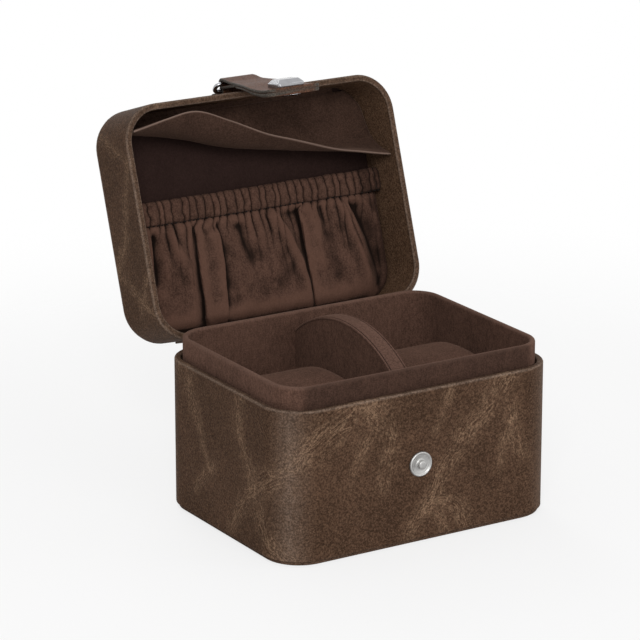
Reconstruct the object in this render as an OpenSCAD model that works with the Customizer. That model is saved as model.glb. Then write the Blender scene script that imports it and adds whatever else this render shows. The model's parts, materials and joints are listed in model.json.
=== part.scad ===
// Travel case for two watches: a leather-covered box with a suede tray, a hinged lid with a
// gathered pocket and a flap, and a snap tab that hangs from a ring on the lid.
// X runs along the front, Y from the front to the back, Z up. The origin is the centre of the underside.

/* [Case] */
// Width of the case along its front
case_w = 140; // [125:1:170]
// Depth of the case from front to back
case_d = 106; // [98:1:130]
// Height of the base from the table to its rim
base_h = 69; // [66:1:85]
// Height of the lid from its rim to its top
lid_h = 32; // [32:1:42]
// Radius of the upright corners
corner_r = 17.5; // [14:0.5:22]
// Angle by which the lid stands open, from closed
lid_open = 108.5; // [60:0.5:120]
// Gap between the two rims when the lid is shut
rim_gap = 0.3; // [0.2:0.1:0.6]

/* [Walls] */
// Thickness of the outer leather
leather_t = 1; // [0.8:0.1:1.4]
// Thickness of the leather turned over a rim
turn_t = 0.8; // [0.5:0.1:1.2]
// Thickness of the leather tucked down behind the base's rim
tuck_t = 0.6; // [0.4:0.1:1]
// Thickness of the wall boards
board_t = 1.3; // [1:0.1:1.8]
// Thickness of the floor board and of the lid's top board
plate_t = 1.8; // [1.4:0.1:2.4]
// Thickness of the thin lining leather and of the suede skins
lining_t = 0.5; // [0.4:0.1:0.7]
// Width of the leather turned in under the floor and over the lid's top board
turn_in = 12; // [8:1:16]
// How far the turned-over leather reaches down inside the base's rim
turn_down = 10; // [6:1:14]
// How far the bottom panel stands in from the walls
bottom_inset = 1.2; // [0.6:0.2:2]
// Thickness of the leather-covered bottom panel and top panel
panel_t = 1.8; // [1.4:0.1:2.4]
// Thickness of the leather on the bottom panel and top panel
panel_skin = 0.6; // [0.4:0.1:0.8]

/* [Tray] */
// Gap between the tucked leather and the collar
collar_gap = 0.8; // [0.6:0.1:1.4]
// Height of the collar above the base's rim
collar_rise = 9.5; // [7:0.5:12]
// Thickness of the collar's board
collar_t = 1.5; // [1.2:0.1:2]
// How far the collar's outer suede reaches down behind the rim
collar_skirt = 19; // [12:1:26]
// Thickness of the suede on the tray's floor
floor_suede_t = 0.8; // [0.6:0.1:1.2]

/* [Divider] */
// Thickness of the divider's core
divider_t = 6.5; // [4:0.5:8]
// Thickness of the suede on each side of the divider
divider_skin = 0.8; // [0.5:0.1:1]
// How far the binding stands proud of each suede side
binding_lip = 0.4; // [0.2:0.1:0.8]
// Thickness of the binding along the arch
binding_t = 1; // [0.8:0.1:1.6]
// Height of the arch's crown above the base's rim
arch_rise = 15.5; // [11:0.5:15.5]
// Radius of the arch
arch_r = 65; // [56:1:90]
// How far the crown sits behind the middle of the tray
arch_back = 6; // [0:0.5:6]

/* [Cushions] */
// Size of a cushion from front to back
cushion_d = 66; // [56:1:78]
// Height of a cushion
cushion_h = 60; // [50:1:60]
// Radius of a cushion's round section
cushion_r = 27; // [20:1:28]
// Gap on each side of a cushion, for fingers and the watch's lugs
cushion_gap = 4.5; // [3:0.5:6]
// Thickness of a cushion's suede
cushion_skin = 1.2; // [0.8:0.1:2]
// Air under a cushion
cushion_lift = 0.3; // [0.2:0.1:0.5]

/* [Hinge] */
// Width of the leather hinge strip
hinge_w = 104; // [70:1:104]
// Thickness of the hinge strip
hinge_t = 0.9; // [0.6:0.1:1.2]
// Length of each glued leaf of the strip
hinge_leaf = 15; // [10:1:20]
// Where a leaf starts, from its rim
hinge_start = 1.5; // [1:0.1:1.6]
// Height of the bending line above the base's rim
hinge_rise = 2; // [1.8:0.1:2.2]
// How far the bending line sits behind the back wall
hinge_back = 0.5; // [0.4:0.1:0.6]

/* [Pocket] */
// Distance of the pocket's mouth from the lid's front
mouth_y = 43.3; // [41:0.1:48]
// Width of the gathered band at the mouth
header_w = 10; // [8:0.5:14]
// Thickness of the gathered band
header_t = 3.4; // [3:0.1:4]
// How far the pocket's front stands off the lid's panel
pocket_depth = 9.2; // [8.6:0.1:10]
// Thickness of the pocket's cloth, gathered
pocket_t = 1.5; // [1:0.1:2.2]
// How far the gathered band stands proud of the pocket's cloth
header_proud = 0.6; // [0.2:0.1:0.8]
// Width of the elastic inside the band
elastic_w = 8; // [6:0.5:9]
// Thickness of the elastic
elastic_t = 0.8; // [0.6:0.1:1.2]

/* [Flap] */
// Width of the flap across the lid
flap_w = 125; // [100:1:125]
// Thickness of the flap
flap_t = 0.9; // [0.6:0.1:1.2]
// Width of the band that is sewn over the flap's root
band_w = 5; // [4:0.5:7]
// Thickness of that band
band_t = 1.6; // [1.2:0.1:2]

/* [Stud] */
// Radius of the stud's rim
stud_r = 5.6; // [5.3:0.1:7]
// How far the stud's rim stands off the leather
stud_t = 1.3; // [1.1:0.1:1.6]
// Thickness of the stud's recessed floor
stud_floor = 0.4; // [0.3:0.1:0.6]
// Radius of the post
post_r = 1.9; // [1.5:0.1:2.1]
// Height of the post above the leather
post_h = 2.6; // [2.2:0.1:2.8]
// Drop of the stud below the base's rim
stud_drop = 33; // [28:0.1:36]
// Radius of the stud's rivet
rivet_r = 1.5; // [1.2:0.1:1.8]

/* [Clasp] */
// Place of the clasp and its stud across the case, from the middle
clasp_x = -2.4; // [-10:0.2:10]
// Radius of the ring's wire
wire_r = 1; // [0.8:0.1:1.2]
// Width of the ring between the middles of its sides
ring_w = 21.6; // [20:0.1:26]
// Height of the ring between the middles of its bars
ring_h = 5.1; // [4.9:0.1:6]
// Bend radius of the ring's corners
ring_bend = 2.2; // [1.8:0.1:2.4]
// Height of the ring's held bar above the lid's rim
ring_up = 16.6; // [15:0.1:19]
// Angle of the ring from hanging straight down
ring_tilt = 36; // [32:1:44]
// Thickness of the keeper that holds the ring
keeper_t = 0.9; // [0.7:0.1:1]
// Width of the keeper
keeper_w = 14; // [10:0.5:15]
// Height of the keeper's rivet above the ring's held bar
keeper_up = 5.8; // [5:0.1:7]
// Length of the tab from the ring to its end
tab_len = 50.6; // [49:0.1:56]
// Width of the tab at the ring
tab_root_w = 17.4; // [13:0.1:17.6]
// Width of the tab at its end
tab_end_w = 27; // [24:0.5:32]
// Thickness of each of the tab's two leathers
tab_t = 1.4; // [1.2:0.1:1.5]
// Angle by which the tab droops from straight down
tab_droop = 11; // [9:0.5:12]
// Distance of the snap socket from the ring
socket_at = 46; // [45:0.1:46.6]
// Length of the tab's metal plate along the tab
clasp_plate_l = 10.4; // [9:0.1:12]
// Width of the metal plate
clasp_plate_w = 13.2; // [11:0.1:16]
// Thickness of the metal plate
clasp_plate_t = 3.7; // [3:0.1:4.2]
// Bevel of the metal plate
clasp_bevel = 1.8; // [1:0.1:2.2]
// Corner cut of the metal plate
clasp_corner = 0.6; // [0.3:0.1:1.2]

/* [Hidden] */
$fn = 96;

leather = "saddlebrown";
suede = "sienna";
card = "burlywood";
metal = "silver";
fine = 0.05; // running clearance of a rivet in its hole
fit = 0.1; // clearance of the divider's ends and of the wire in its leather loops
over = 1; // how far a cutter reaches past what it cuts

// Insets from the case's outer walls
wall_in = leather_t + board_t; // inner face of the wall boards
lid_in = wall_in + lining_t; // inner face of the lid's lining
tuck_in = wall_in + tuck_t; // inner face of the leather tucked down inside the base
collar_out = tuck_in + collar_gap; // outer face of the collar
collar_board_in = collar_out + lining_t; // outer face of the collar's board
tray_board_in = collar_board_in + collar_t; // inner face of the collar's board
tray_in = tray_board_in + lining_t; // inner face of the tray

// Heights in the base
shell_z = panel_t; // underside of the walls
board_z = shell_z + turn_t; // underside of the wall boards
floor_z = board_z + plate_t; // top of the floor board
tray_z = floor_z + floor_suede_t; // top of the tray's floor
collar_z = base_h + collar_rise; // top of the collar

// Heights in the lid, from its rim
top_z = lid_h - panel_t; // under the top panel
top_board_z = top_z - turn_t; // top of the lid's boards
panel_z = top_board_z - plate_t - floor_suede_t; // the lid's suede panel, seen from the rim
pocket_z = panel_z - pocket_depth; // face of the pocket
header_z = pocket_z - header_proud; // face of the gathered band
header_y = -case_d / 2 + mouth_y; // mouth of the pocket
header_end = header_y + header_w; // seam under the gathered band

// Hinge line
hinge_y = case_d / 2 + hinge_back;
hinge_z = base_h + hinge_rise;

// Divider
divider_w = divider_t + 2 * divider_skin;
binding_w = divider_w + 2 * binding_lip;
arch_z = base_h + arch_rise - arch_r; // height of the arch's centre
tray_half_d = case_d / 2 - tray_in;

// Cushions
bay_w = case_w / 2 - tray_in - binding_w / 2; // free width of each half of the tray
bay_x = (binding_w / 2 + case_w / 2 - tray_in) / 2; // middle of each half
cushion_w = bay_w - 2 * cushion_gap;
cushion_z = tray_z + cushion_lift + cushion_h / 2;

// Flap: where it is sewn on, and the points that shape its curl, as [from the lid's front, from the rim]
root_y = lid_in + band_w + fine * 4;
root_z = panel_z - band_t / 2 - flap_t;
flap_steps = 20; // pieces across the flap
flap_rows = 12; // pieces from root to free edge
hang_bend = [30, panel_z - 1.2]; // where the flap hangs flat against the panel
hang_belly = [31, 14];
hang_edge = [38, 1];
curl_bend = [19, panel_z - 2.6]; // where it curls up towards the front
curl_belly = [23, 4];
curl_edge = [6, -3];
curl_middle = 6; // across the lid, where the curl is half up
curl_spread = 16; // how gently it rises

// Clasp
ring_out = 2 * wire_r + fit; // distance of the ring's held bar from the lid's front wall
loop_r = wire_r + fit; // inner radius of the leather loops round the wire
keeper_r = loop_r + keeper_t - fine; // outer radius of the keeper's loop
tab_loop_r = loop_r + tab_t; // outer radius of the tab's loop
loop_end = 8; // where the tab's two leathers meet
return_end = 14; // where the folded-back leather ends
tab_waist = 20; // where the tab has widened halfway
tab_hip = 32; // where it reaches its full width
tab_corner = 3; // how far its end corners are cut back
plate_at = socket_at - 3.2; // middle of the metal plate
tab_rivet_r = 1.2;
socket_flange_r = 6;
socket_flange_t = 0.8;
socket_r = 4.2;
socket_h = 1.6; // how far the socket stands off its flange
socket_bore_r = 2.3;
socket_bore_h = 2.1;
keeper_rivet_r = 1;
keeper_head_r = 2.2;
keeper_head_h = 1;
washer_r = 4;
washer_t = 0.5;

// ---- shared shapes ----

// Rounded rectangle about the origin
module rounded(w, d, r) {
  square([w - 2 * r, d], center = true);
  square([w, d - 2 * r], center = true);
  for (x = [-1, 1], y = [-1, 1]) translate([x * (w / 2 - r), y * (d / 2 - r)]) circle(r);
}

// Solid of the case's outline, set in by inset, from height low to height high
module block(low, high, inset = 0) {
  translate([0, 0, low]) linear_extrude(high - low)
    rounded(case_w - 2 * inset, case_d - 2 * inset, corner_r - inset);
}

// Wall that follows the case's outline between two insets
module wall(low, high, outer, inner) {
  difference() {
    block(low, high, outer);
    block(low - over, high + over, inner);
  }
}

// Places what is drawn for a shut lid, with its rim at height 0, on the open lid
module on_lid() {
  translate([0, hinge_y, hinge_z]) rotate([-lid_open, 0, 0])
    translate([0, -hinge_y, -hinge_rise]) children();
}

// On the lid: the held bar is the X axis and the free bar lies below it
module on_ring() {
  on_lid() translate([clasp_x, -case_d / 2 - ring_out, ring_up]) rotate([-ring_tilt, 0, 0]) children();
}

// On the ring: the tab hangs down from the X axis and its outer face looks to -Y
module on_tab() {
  on_lid() translate([clasp_x, -case_d / 2 - ring_out - ring_h * sin(ring_tilt),
                      ring_up - ring_h * cos(ring_tilt)]) rotate([tab_droop, 0, 0]) children();
}

// Bar along X whose section is drawn in the YZ plane
module along_x(w) {
  rotate([90, 0, 90]) translate([0, 0, -w / 2]) linear_extrude(w) children();
}

// Round bar along X
module bar(r, w) {
  rotate([0, 90, 0]) cylinder(r = r, h = w, center = true);
}

// Pin whose axis runs from the front towards the back, from depth y0 to y1
module pin(r, y0, y1) {
  translate([0, y0, 0]) rotate([-90, 0, 0]) cylinder(r = r, h = y1 - y0);
}

// Places what is drawn round the stud's foot on the base's front
module at_stud() {
  translate([clasp_x, -case_d / 2, base_h - stud_drop]) children();
}

// ---- base ----

module bottom_cover() {
  color(leather) difference() {
    block(0, panel_t, bottom_inset);
    block(panel_skin, panel_t + over, bottom_inset + panel_skin);
  }
}

module bottom_board() {
  color(card) block(panel_skin, panel_t, bottom_inset + panel_skin);
}

module stud_hole() {
  at_stud() pin(rivet_r + fine, -over, wall_in + over);
}

module base_leather() {
  color(leather) difference() {
    union() {
      wall(shell_z, base_h, 0, leather_t);
      wall(shell_z, board_z, leather_t / 2, turn_in);
      wall(base_h - turn_t, base_h, leather_t / 2, tuck_in);
      wall(base_h - turn_down, base_h, wall_in, tuck_in);
    }
    stud_hole();
  }
}

module base_board() {
  color(card) difference() {
    wall(board_z, base_h - turn_t, leather_t, wall_in);
    stud_hole();
  }
}

module floor_board() {
  color(card) block(board_z, floor_z, wall_in);
}

module collar_board() {
  color(card) wall(floor_z, collar_z - lining_t, collar_board_in, tray_board_in);
}

module collar_suede() {
  color(suede) {
    wall(base_h - collar_skirt, collar_z, collar_out, collar_board_in);
    wall(tray_z, collar_z, tray_board_in, tray_in);
    wall(collar_z - lining_t, collar_z, collar_board_in - lining_t / 2, tray_board_in + lining_t / 2);
  }
}

module tray_suede() {
  color(suede) block(floor_z, tray_z, tray_board_in);
}

// Part of the arch's disc that stands in the tray
module arch(r, w, floor) {
  intersection() {
    translate([0, arch_back, arch_z]) bar(r, w);
    translate([-w / 2 - over, fit - tray_half_d, floor])
      cube([w + 2 * over, 2 * (tray_half_d - fit), base_h + arch_rise]);
  }
}

module divider_core() {
  color(card) arch(arch_r - binding_t, divider_t, tray_z);
}

module divider_suede() {
  color(suede) for (side = [-1, 1]) translate([side * (divider_t + divider_skin) / 2, 0, 0])
    arch(arch_r - binding_t, divider_skin, tray_z);
}

module divider_binding() {
  color(suede) difference() {
    arch(arch_r, binding_w, arch_z);
    translate([0, arch_back, arch_z]) bar(arch_r - binding_t, binding_w + over);
  }
}

// Round disc with a raised rim and a post, its axis along Y, facing the front
module snap_stud() {
  color(metal) at_stud() rotate([90, 0, 0]) rotate_extrude()
    polygon([[0, 0], [stud_r - 0.2, 0], [stud_r, 0.3], [stud_r, stud_t - 0.4], [stud_r - 0.4, stud_t],
             [stud_r - 0.7, stud_t], [stud_r - 1, stud_floor], [post_r, stud_floor],
             [post_r, post_h - 0.4], [post_r - 0.5, post_h], [0, post_h]]);
}

module stud_rivet() {
  color(metal) at_stud() {
    pin(rivet_r, 0, wall_in);
    pin(washer_r, wall_in, wall_in + washer_t);
  }
}

module hinge_leaf_base() {
  color(leather) translate([-hinge_w / 2, case_d / 2, base_h - hinge_start - hinge_leaf])
    cube([hinge_w, hinge_t, hinge_leaf]);
}

// A point of the shut lid's section, [depth, height above the rim], on the open lid
function opened(p) = let(y = p[0] - hinge_y, z = p[1] - hinge_rise)
  [hinge_y + y * cos(lid_open) + z * sin(lid_open), hinge_z - y * sin(lid_open) + z * cos(lid_open)];

// Bare stretch of the strip, which folds between the two leaves
module hinge_fold() {
  back = case_d / 2;
  glued = opened([back, hinge_start]);
  bare = opened([back + hinge_t, hinge_start]);
  color(leather) along_x(hinge_w)
    polygon([[back, base_h - hinge_start], [back + hinge_t, base_h - hinge_start],
             [back + hinge_t, base_h + hinge_t / 2], bare, glued,
             [back - hinge_t, hinge_z], [back - hinge_t, hinge_z - hinge_t], [back, base_h]]);
}

// ---- lid ----

module hinge_leaf_lid() {
  color(leather) on_lid() translate([-hinge_w / 2, case_d / 2, hinge_start])
    cube([hinge_w, hinge_t, hinge_leaf]);
}

module keeper_hole() {
  translate([clasp_x, -case_d / 2, ring_up + keeper_up])
    pin(keeper_rivet_r + fine, -ring_out - over, wall_in + over);
}

module lid_leather() {
  color(leather) on_lid() difference() {
    union() {
      wall(rim_gap, top_z, 0, leather_t);
      wall(rim_gap, rim_gap + turn_t, leather_t / 2, lid_in);
      wall(top_board_z, top_z, leather_t / 2, turn_in);
    }
    keeper_hole();
  }
}

module lid_board() {
  color(card) on_lid() difference() {
    wall(rim_gap + turn_t, top_board_z, leather_t, wall_in);
    keeper_hole();
  }
}

module lid_top_board() {
  color(card) on_lid() block(top_board_z - plate_t, top_board_z, wall_in);
}

module lid_top_panel() {
  color(leather) on_lid() block(top_z, lid_h, bottom_inset / 2);
}

module lid_lining() {
  color(leather) on_lid() wall(rim_gap + turn_t, panel_z, wall_in, lid_in);
}

module lid_panel_suede() {
  color(suede) on_lid() block(panel_z, panel_z + floor_suede_t, wall_in);
}

// Part of a shut-lid shape between two depths
module between(y0, y1) {
  intersection() {
    children();
    translate([-case_w, y0, 0]) cube([2 * case_w, y1 - y0, lid_h]);
  }
}

module pocket_front() {
  color(suede) on_lid() between(header_end, case_d) difference() {
    block(pocket_z, panel_z, lid_in);
    block(pocket_z + pocket_t, panel_z + over, lid_in + pocket_t);
  }
}

// The elastic and its channel run along the middle of the gathered band
module elastic(slack, w) {
  translate([0, header_y + header_w / 2, header_z + header_t / 2])
    cube([w, elastic_w + slack, elastic_t + slack], center = true);
}

module pocket_header() {
  color(suede) on_lid() difference() {
    between(header_y, header_end) difference() {
      block(header_z, panel_z, lid_in);
      block(header_z + header_t, panel_z + over, lid_in + pocket_t);
    }
    elastic(fit, case_w);
  }
}

module pocket_elastic() {
  color("dimgray") on_lid() elastic(0, case_w - 2 * lid_in);
}

module flap_band() {
  color(suede) on_lid() translate([-flap_w / 2 + corner_r / 2, -case_d / 2 + lid_in, panel_z - band_t])
    cube([flap_w - corner_r, band_w, band_t]);
}

// How far the flap is curled up at distance x from the middle, from 0, hanging, to 1
function curl(x) = 1 / (1 + exp((x - curl_middle) / curl_spread));
function mix(a, b, t) = a + (b - a) * t;
function bezier(a, b, c, d, t) =
  pow(1 - t, 3) * a + 3 * pow(1 - t, 2) * t * b + 3 * (1 - t) * t * t * c + pow(t, 3) * d;
function flap_at(x, t) = bezier([root_y, root_z], mix(hang_bend, curl_bend, curl(x)),
  mix(hang_belly, curl_belly, curl(x)), mix(hang_edge, curl_edge, curl(x)), t);
// Offset square to the flap's section at t, half its thickness long
function flap_half(x, t) = let(d = flap_at(x, t + 0.01) - flap_at(x, t - 0.01))
  flap_t / 2 * [-d[1], d[0]] / norm(d);
function flap_point(i, j, side) = let(x = flap_w * (i / flap_steps - 0.5), t = j / flap_rows,
  p = flap_at(x, t) + side * flap_half(x, t)) [x, p[0] - case_d / 2, p[1]];

module pocket_flap() {
  cols = flap_steps + 1;
  grid = cols * (flap_rows + 1);
  points = [for (side = [1, -1], j = [0:flap_rows], i = [0:flap_steps]) flap_point(i, j, side)];
  inner = [for (j = [0:flap_rows - 1], i = [0:flap_steps - 1]) let(a = j * cols + i)
    [a, a + 1, a + cols + 1, a + cols]];
  outer = [for (f = inner) [grid + f[3], grid + f[2], grid + f[1], grid + f[0]]];
  ends = [for (i = [0:flap_steps - 1]) each let(b = flap_rows * cols + i)
    [[i + 1, i, grid + i, grid + i + 1], [b, b + 1, grid + b + 1, grid + b]]];
  sides = [for (j = [0:flap_rows - 1]) each let(a = j * cols, b = a + flap_steps)
    [[a, a + cols, grid + a + cols, grid + a], [b + cols, b, grid + b, grid + b + cols]]];
  halves = [for (f = concat(inner, outer, ends, sides)) each [[f[0], f[1], f[2]], [f[0], f[2], f[3]]]];
  color(suede) on_lid() polyhedron(points, halves);
}

// ---- clasp ----

// Leather strip that loops round the ring's held bar and is riveted to the lid's front wall
module ring_keeper() {
  color(leather) on_lid() difference() {
    union() {
      translate([clasp_x, -case_d / 2 - ring_out, ring_up]) bar(keeper_r, keeper_w);
      translate([clasp_x - keeper_w / 2, -case_d / 2 - 2 * keeper_t, ring_up])
        cube([keeper_w, 2 * keeper_t, keeper_up + keeper_head_r + over]);
    }
    translate([clasp_x, -case_d / 2 - ring_out, ring_up]) bar(loop_r, keeper_w + over);
    keeper_hole();
  }
}

module keeper_rivet() {
  color(metal) on_lid() translate([clasp_x, -case_d / 2, ring_up + keeper_up]) {
    pin(keeper_rivet_r, -2 * keeper_t, wall_in);
    pin(keeper_head_r, -2 * keeper_t - keeper_head_h, -2 * keeper_t);
  }
}

// Quarter bend of the wire, from the Z axis' direction to the X axis'
module bend() {
  rotate([90, 0, 0]) rotate_extrude(angle = 90) translate([ring_bend, 0]) circle(wire_r);
}

module clasp_ring() {
  straight = ring_w - 2 * ring_bend;
  rise = ring_h - 2 * ring_bend;
  color(metal) on_ring() translate([0, 0, -ring_h / 2]) {
    for (end = [-1, 1]) translate([0, 0, end * ring_h / 2]) bar(wire_r, straight);
    for (side = [-1, 1]) translate([side * ring_w / 2, 0, 0]) cylinder(r = wire_r, h = rise, center = true);
    for (turn = [0, 180], flip = [0, 1]) rotate([0, turn, 0]) mirror([0, 0, flip])
      translate([straight / 2, 0, rise / 2]) bend();
  }
}

// Outline of the tab below the ring, from distance t0 to its end
module tab_outline(t0) {
  half = tab_end_w / 2;
  root = tab_root_w / 2;
  right = [[root, -t0], [root, -return_end * 0.6], [(half + root) / 2, -tab_waist],
           [half - 0.3, -tab_hip], [half, -tab_len + tab_corner],
           [half - tab_corner / 3, -tab_len + tab_corner / 3], [half - tab_corner, -tab_len]];
  left = [for (i = [len(right) - 1:-1:0]) [-right[i][0], right[i][1]]];
  polygon(concat(right, left));
}

// One of the tab's leathers, between two depths
module tab_leather(t0, y0, y1) {
  translate([0, y1, 0]) rotate([90, 0, 0]) linear_extrude(y1 - y0) tab_outline(t0);
}

module tab_hole(r) {
  translate([0, 0, -socket_at]) pin(r + fine, -tab_t - over, tab_t + over);
}

// Outer leather, folded round the ring's free bar and back under itself
module tab_strap() {
  color(leather) on_tab() difference() {
    union() {
      bar(tab_loop_r, tab_root_w);
      along_x(tab_root_w) polygon([[-tab_loop_r, 0], [tab_loop_r, 0], [tab_t, -loop_end], [-tab_t, -loop_end]]);
      tab_leather(loop_end - over, -tab_t, 0);
      translate([-tab_root_w / 2, 0, -return_end]) cube([tab_root_w, tab_t, return_end - loop_end + over / 2]);
    }
    bar(loop_r, tab_root_w + over);
    tab_hole(tab_rivet_r);
  }
}

module tab_lining() {
  color(leather) on_tab() difference() {
    tab_leather(return_end + fit, 0, tab_t);
    tab_hole(tab_rivet_r);
  }
}

// Metal block with broad bevels round its top
module tab_plate() {
  w = clasp_plate_w / 2;
  l = clasp_plate_l / 2;
  c = clasp_corner;
  color(metal) on_tab() translate([0, -tab_t, -plate_at]) rotate([90, 0, 0]) hull() {
    linear_extrude(clasp_plate_t - clasp_bevel)
      polygon([[w, l - c], [w - c, l], [c - w, l], [-w, l - c], [-w, c - l], [c - w, -l], [w - c, -l], [w, c - l]]);
    linear_extrude(clasp_plate_t)
      square([clasp_plate_w - 2 * clasp_bevel, clasp_plate_l - 2 * clasp_bevel], center = true);
  }
}

module tab_rivet() {
  color(metal) on_tab() translate([0, 0, -socket_at]) pin(tab_rivet_r, -tab_t, tab_t);
}

module snap_socket() {
  color(metal) on_tab() translate([0, 0, -socket_at]) difference() {
    union() {
      pin(socket_flange_r, tab_t, tab_t + socket_flange_t);
      pin(socket_r, tab_t + socket_flange_t / 2, tab_t + socket_flange_t + socket_h);
    }
    pin(socket_bore_r, tab_t + socket_flange_t + socket_h - socket_bore_h,
        tab_t + socket_flange_t + socket_h + over);
  }
}

// ---- cushions ----

// Section of a cushion, set in by inset, as a bar along X
module roll(side, w, inset) {
  translate([side * bay_x, 0, cushion_z]) along_x(w)
    rounded(cushion_d - 2 * inset, cushion_h - 2 * inset, cushion_r - inset);
}

// Suede wrapped round the roll, with cloth at both ends and foam inside
module cushion_band(side) {
  color(suede) difference() {
    roll(side, cushion_w, 0);
    roll(side, cushion_w + over, cushion_skin);
  }
}

module cushion_ends(side) {
  color(suede) for (end = [-1, 1]) translate([end * (cushion_w - cushion_skin) / 2, 0, 0])
    roll(side, cushion_skin, cushion_skin);
}

module cushion_core(side) {
  color("wheat") roll(side, cushion_w - 2 * cushion_skin, cushion_skin);
}

bottom_cover();
bottom_board();
base_leather();
base_board();
floor_board();
collar_board();
collar_suede();
tray_suede();
divider_core();
divider_suede();
divider_binding();
snap_stud();
stud_rivet();
hinge_leaf_base();
hinge_fold();
hinge_leaf_lid();
lid_leather();
lid_board();
lid_top_board();
lid_top_panel();
lid_lining();
lid_panel_suede();
pocket_front();
pocket_header();
pocket_elastic();
flap_band();
pocket_flap();
ring_keeper();
keeper_rivet();
clasp_ring();
tab_strap();
tab_lining();
tab_plate();
tab_rivet();
snap_socket();
cushion_band(-1);  // cushion_left_band
cushion_ends(-1);  // cushion_left_ends
cushion_core(-1);  // cushion_left_core
cushion_band(1);  // cushion_right_band
cushion_ends(1);  // cushion_right_ends
cushion_core(1);  // cushion_right_core
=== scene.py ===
"""The looks of a travel case for two watches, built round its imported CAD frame."""
import json
import math

import bmesh
import bpy
import numpy as np
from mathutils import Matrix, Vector, noise


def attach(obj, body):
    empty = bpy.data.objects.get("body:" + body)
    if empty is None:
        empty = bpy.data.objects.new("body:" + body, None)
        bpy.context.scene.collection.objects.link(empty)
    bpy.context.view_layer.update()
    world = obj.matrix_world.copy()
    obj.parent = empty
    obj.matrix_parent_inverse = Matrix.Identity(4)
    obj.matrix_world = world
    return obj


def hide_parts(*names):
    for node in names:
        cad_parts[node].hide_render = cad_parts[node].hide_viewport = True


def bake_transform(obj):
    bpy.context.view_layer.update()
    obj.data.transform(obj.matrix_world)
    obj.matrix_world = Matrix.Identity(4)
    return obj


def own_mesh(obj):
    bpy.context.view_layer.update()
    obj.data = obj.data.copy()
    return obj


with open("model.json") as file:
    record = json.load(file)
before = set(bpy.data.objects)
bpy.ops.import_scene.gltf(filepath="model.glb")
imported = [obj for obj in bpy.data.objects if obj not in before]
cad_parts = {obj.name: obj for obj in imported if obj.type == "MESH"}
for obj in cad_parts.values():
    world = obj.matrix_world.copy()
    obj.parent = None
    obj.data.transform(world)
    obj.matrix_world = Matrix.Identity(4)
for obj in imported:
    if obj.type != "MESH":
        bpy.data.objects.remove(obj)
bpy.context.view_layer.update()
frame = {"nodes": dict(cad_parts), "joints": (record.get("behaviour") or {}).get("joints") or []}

MM = 0.001  # lengths below are in millimetres

# ---- sizes


def node_points(node):
    """A CAD node's vertices, in millimetres."""
    return np.array([v.co for v in frame["nodes"][node].data.vertices], float) / MM


def box_of(points):
    """The lowest and the highest corner."""
    return points.min(0), points.max(0)


def box(node):
    return box_of(node_points(node))


JOINT = {j["name"]: j for j in frame["joints"]}
HINGE = np.array(JOINT["lid_hinge"]["pos_m"]) / MM
LID_OPEN = math.radians(-JOINT["lid_hinge"]["range_deg"][0])

shell_low, shell_high = box("base_leather")
CASE_W, CASE_D = (shell_high - shell_low)[:2]
SHELL_Z, BASE_H = shell_low[2], shell_high[2]
CORNER_R = 17.5
STITCH = 2.3  # from one stitch to the next
LEATHER_T = 1.0  # leather outside the boards
WALL_IN = 2.3  # inner face of the boards
TURN_IN = 12.0  # how far the leather is turned in under the floor


def tilted(points, angle, pivot):
    """Points turned about the X axis through pivot."""
    p = np.asarray(points, float) - pivot
    c, s = math.cos(angle), math.sin(angle)
    return np.c_[p[:, 0], p[:, 1] * c - p[:, 2] * s, p[:, 1] * s + p[:, 2] * c] + pivot


RIM = np.array([0, 0, BASE_H])


def on_lid(points):
    """From the shut lid, with heights counted from its rim, to the open lid."""
    return tilted(np.asarray(points, float) + RIM, -LID_OPEN, HINGE)


def shut(points):
    """From the open lid to the shut one, with heights counted from its rim."""
    return tilted(points, LID_OPEN, HINGE) - RIM


def lid_box(node):
    """A node's box on the shut lid."""
    return box_of(shut(node_points(node)))


LID_TOP = lid_box("lid_top_panel")[1][2]
LID_SHELL_TOP = lid_box("lid_leather")[1][2]
LID_RIM = lid_box("lid_leather")[0][2]
LID_IN = CASE_W / 2 - lid_box("pocket_header")[1][0]  # inner face of the lid's walls
PANEL_S = lid_box("lid_panel_suede")[0][2]  # face of the lid's suede panel
POCKET_S = lid_box("pocket_front")[0][2]  # face of the pocket
HEADER_S = lid_box("pocket_header")[0][2]
MOUTH_Y, SEAM_Y = (box[1] for box in lid_box("pocket_header"))
FRONT_Y = -CASE_D / 2

# ---- meshes

LONG_STEPS, SHORT_STEPS, CORNER_STEPS = 48, 32, 14  # along a wall's long and short sides, and round a corner
ROUNDING = 0.42  # radius of a strap's long edges, in thicknesses


def unit(vectors):
    """The same directions at length 1."""
    return vectors / (np.linalg.norm(vectors, axis=-1, keepdims=True) + 1e-12)


def whole_turn(steps):
    """Even angles all round."""
    return np.linspace(0, 2 * math.pi, steps, endpoint=False)


def ease(t):
    """From 0 to 1 with soft ends."""
    return t * t * (3 - 2 * t)


def rounded(half, r, steps):
    """The corners of a rounded rectangle with these half sizes: the points of each, and their angles."""
    turns = [np.radians(90 * k + np.linspace(-90, 0, steps + 1)) for k in range(4)]
    return [((np.array(half) - r) * side + r * np.c_[np.cos(a), np.sin(a)], a)
            for side, a in zip(((1, -1), (1, 1), (-1, 1), (-1, -1)), turns)]


def outline(inset, z=0.0):
    """Closed loop round the case, set in by inset. Every loop has as many points."""
    half = (CASE_W / 2 - inset, CASE_D / 2 - inset)
    corners = [points for points, _ in rounded(half, max(CORNER_R - inset, 0.3), CORNER_STEPS)]
    loop = []
    for k, (corner, after) in enumerate(zip(corners, corners[1:] + corners[:1])):
        steps = np.linspace(0, 1, (LONG_STEPS if k % 2 else SHORT_STEPS) + 1)[1:-1, None]
        loop += [corner, corner[-1] + (after[0] - corner[-1]) * steps]
    flat = np.concatenate(loop)
    return np.c_[flat, np.full(len(flat), z)]


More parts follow.
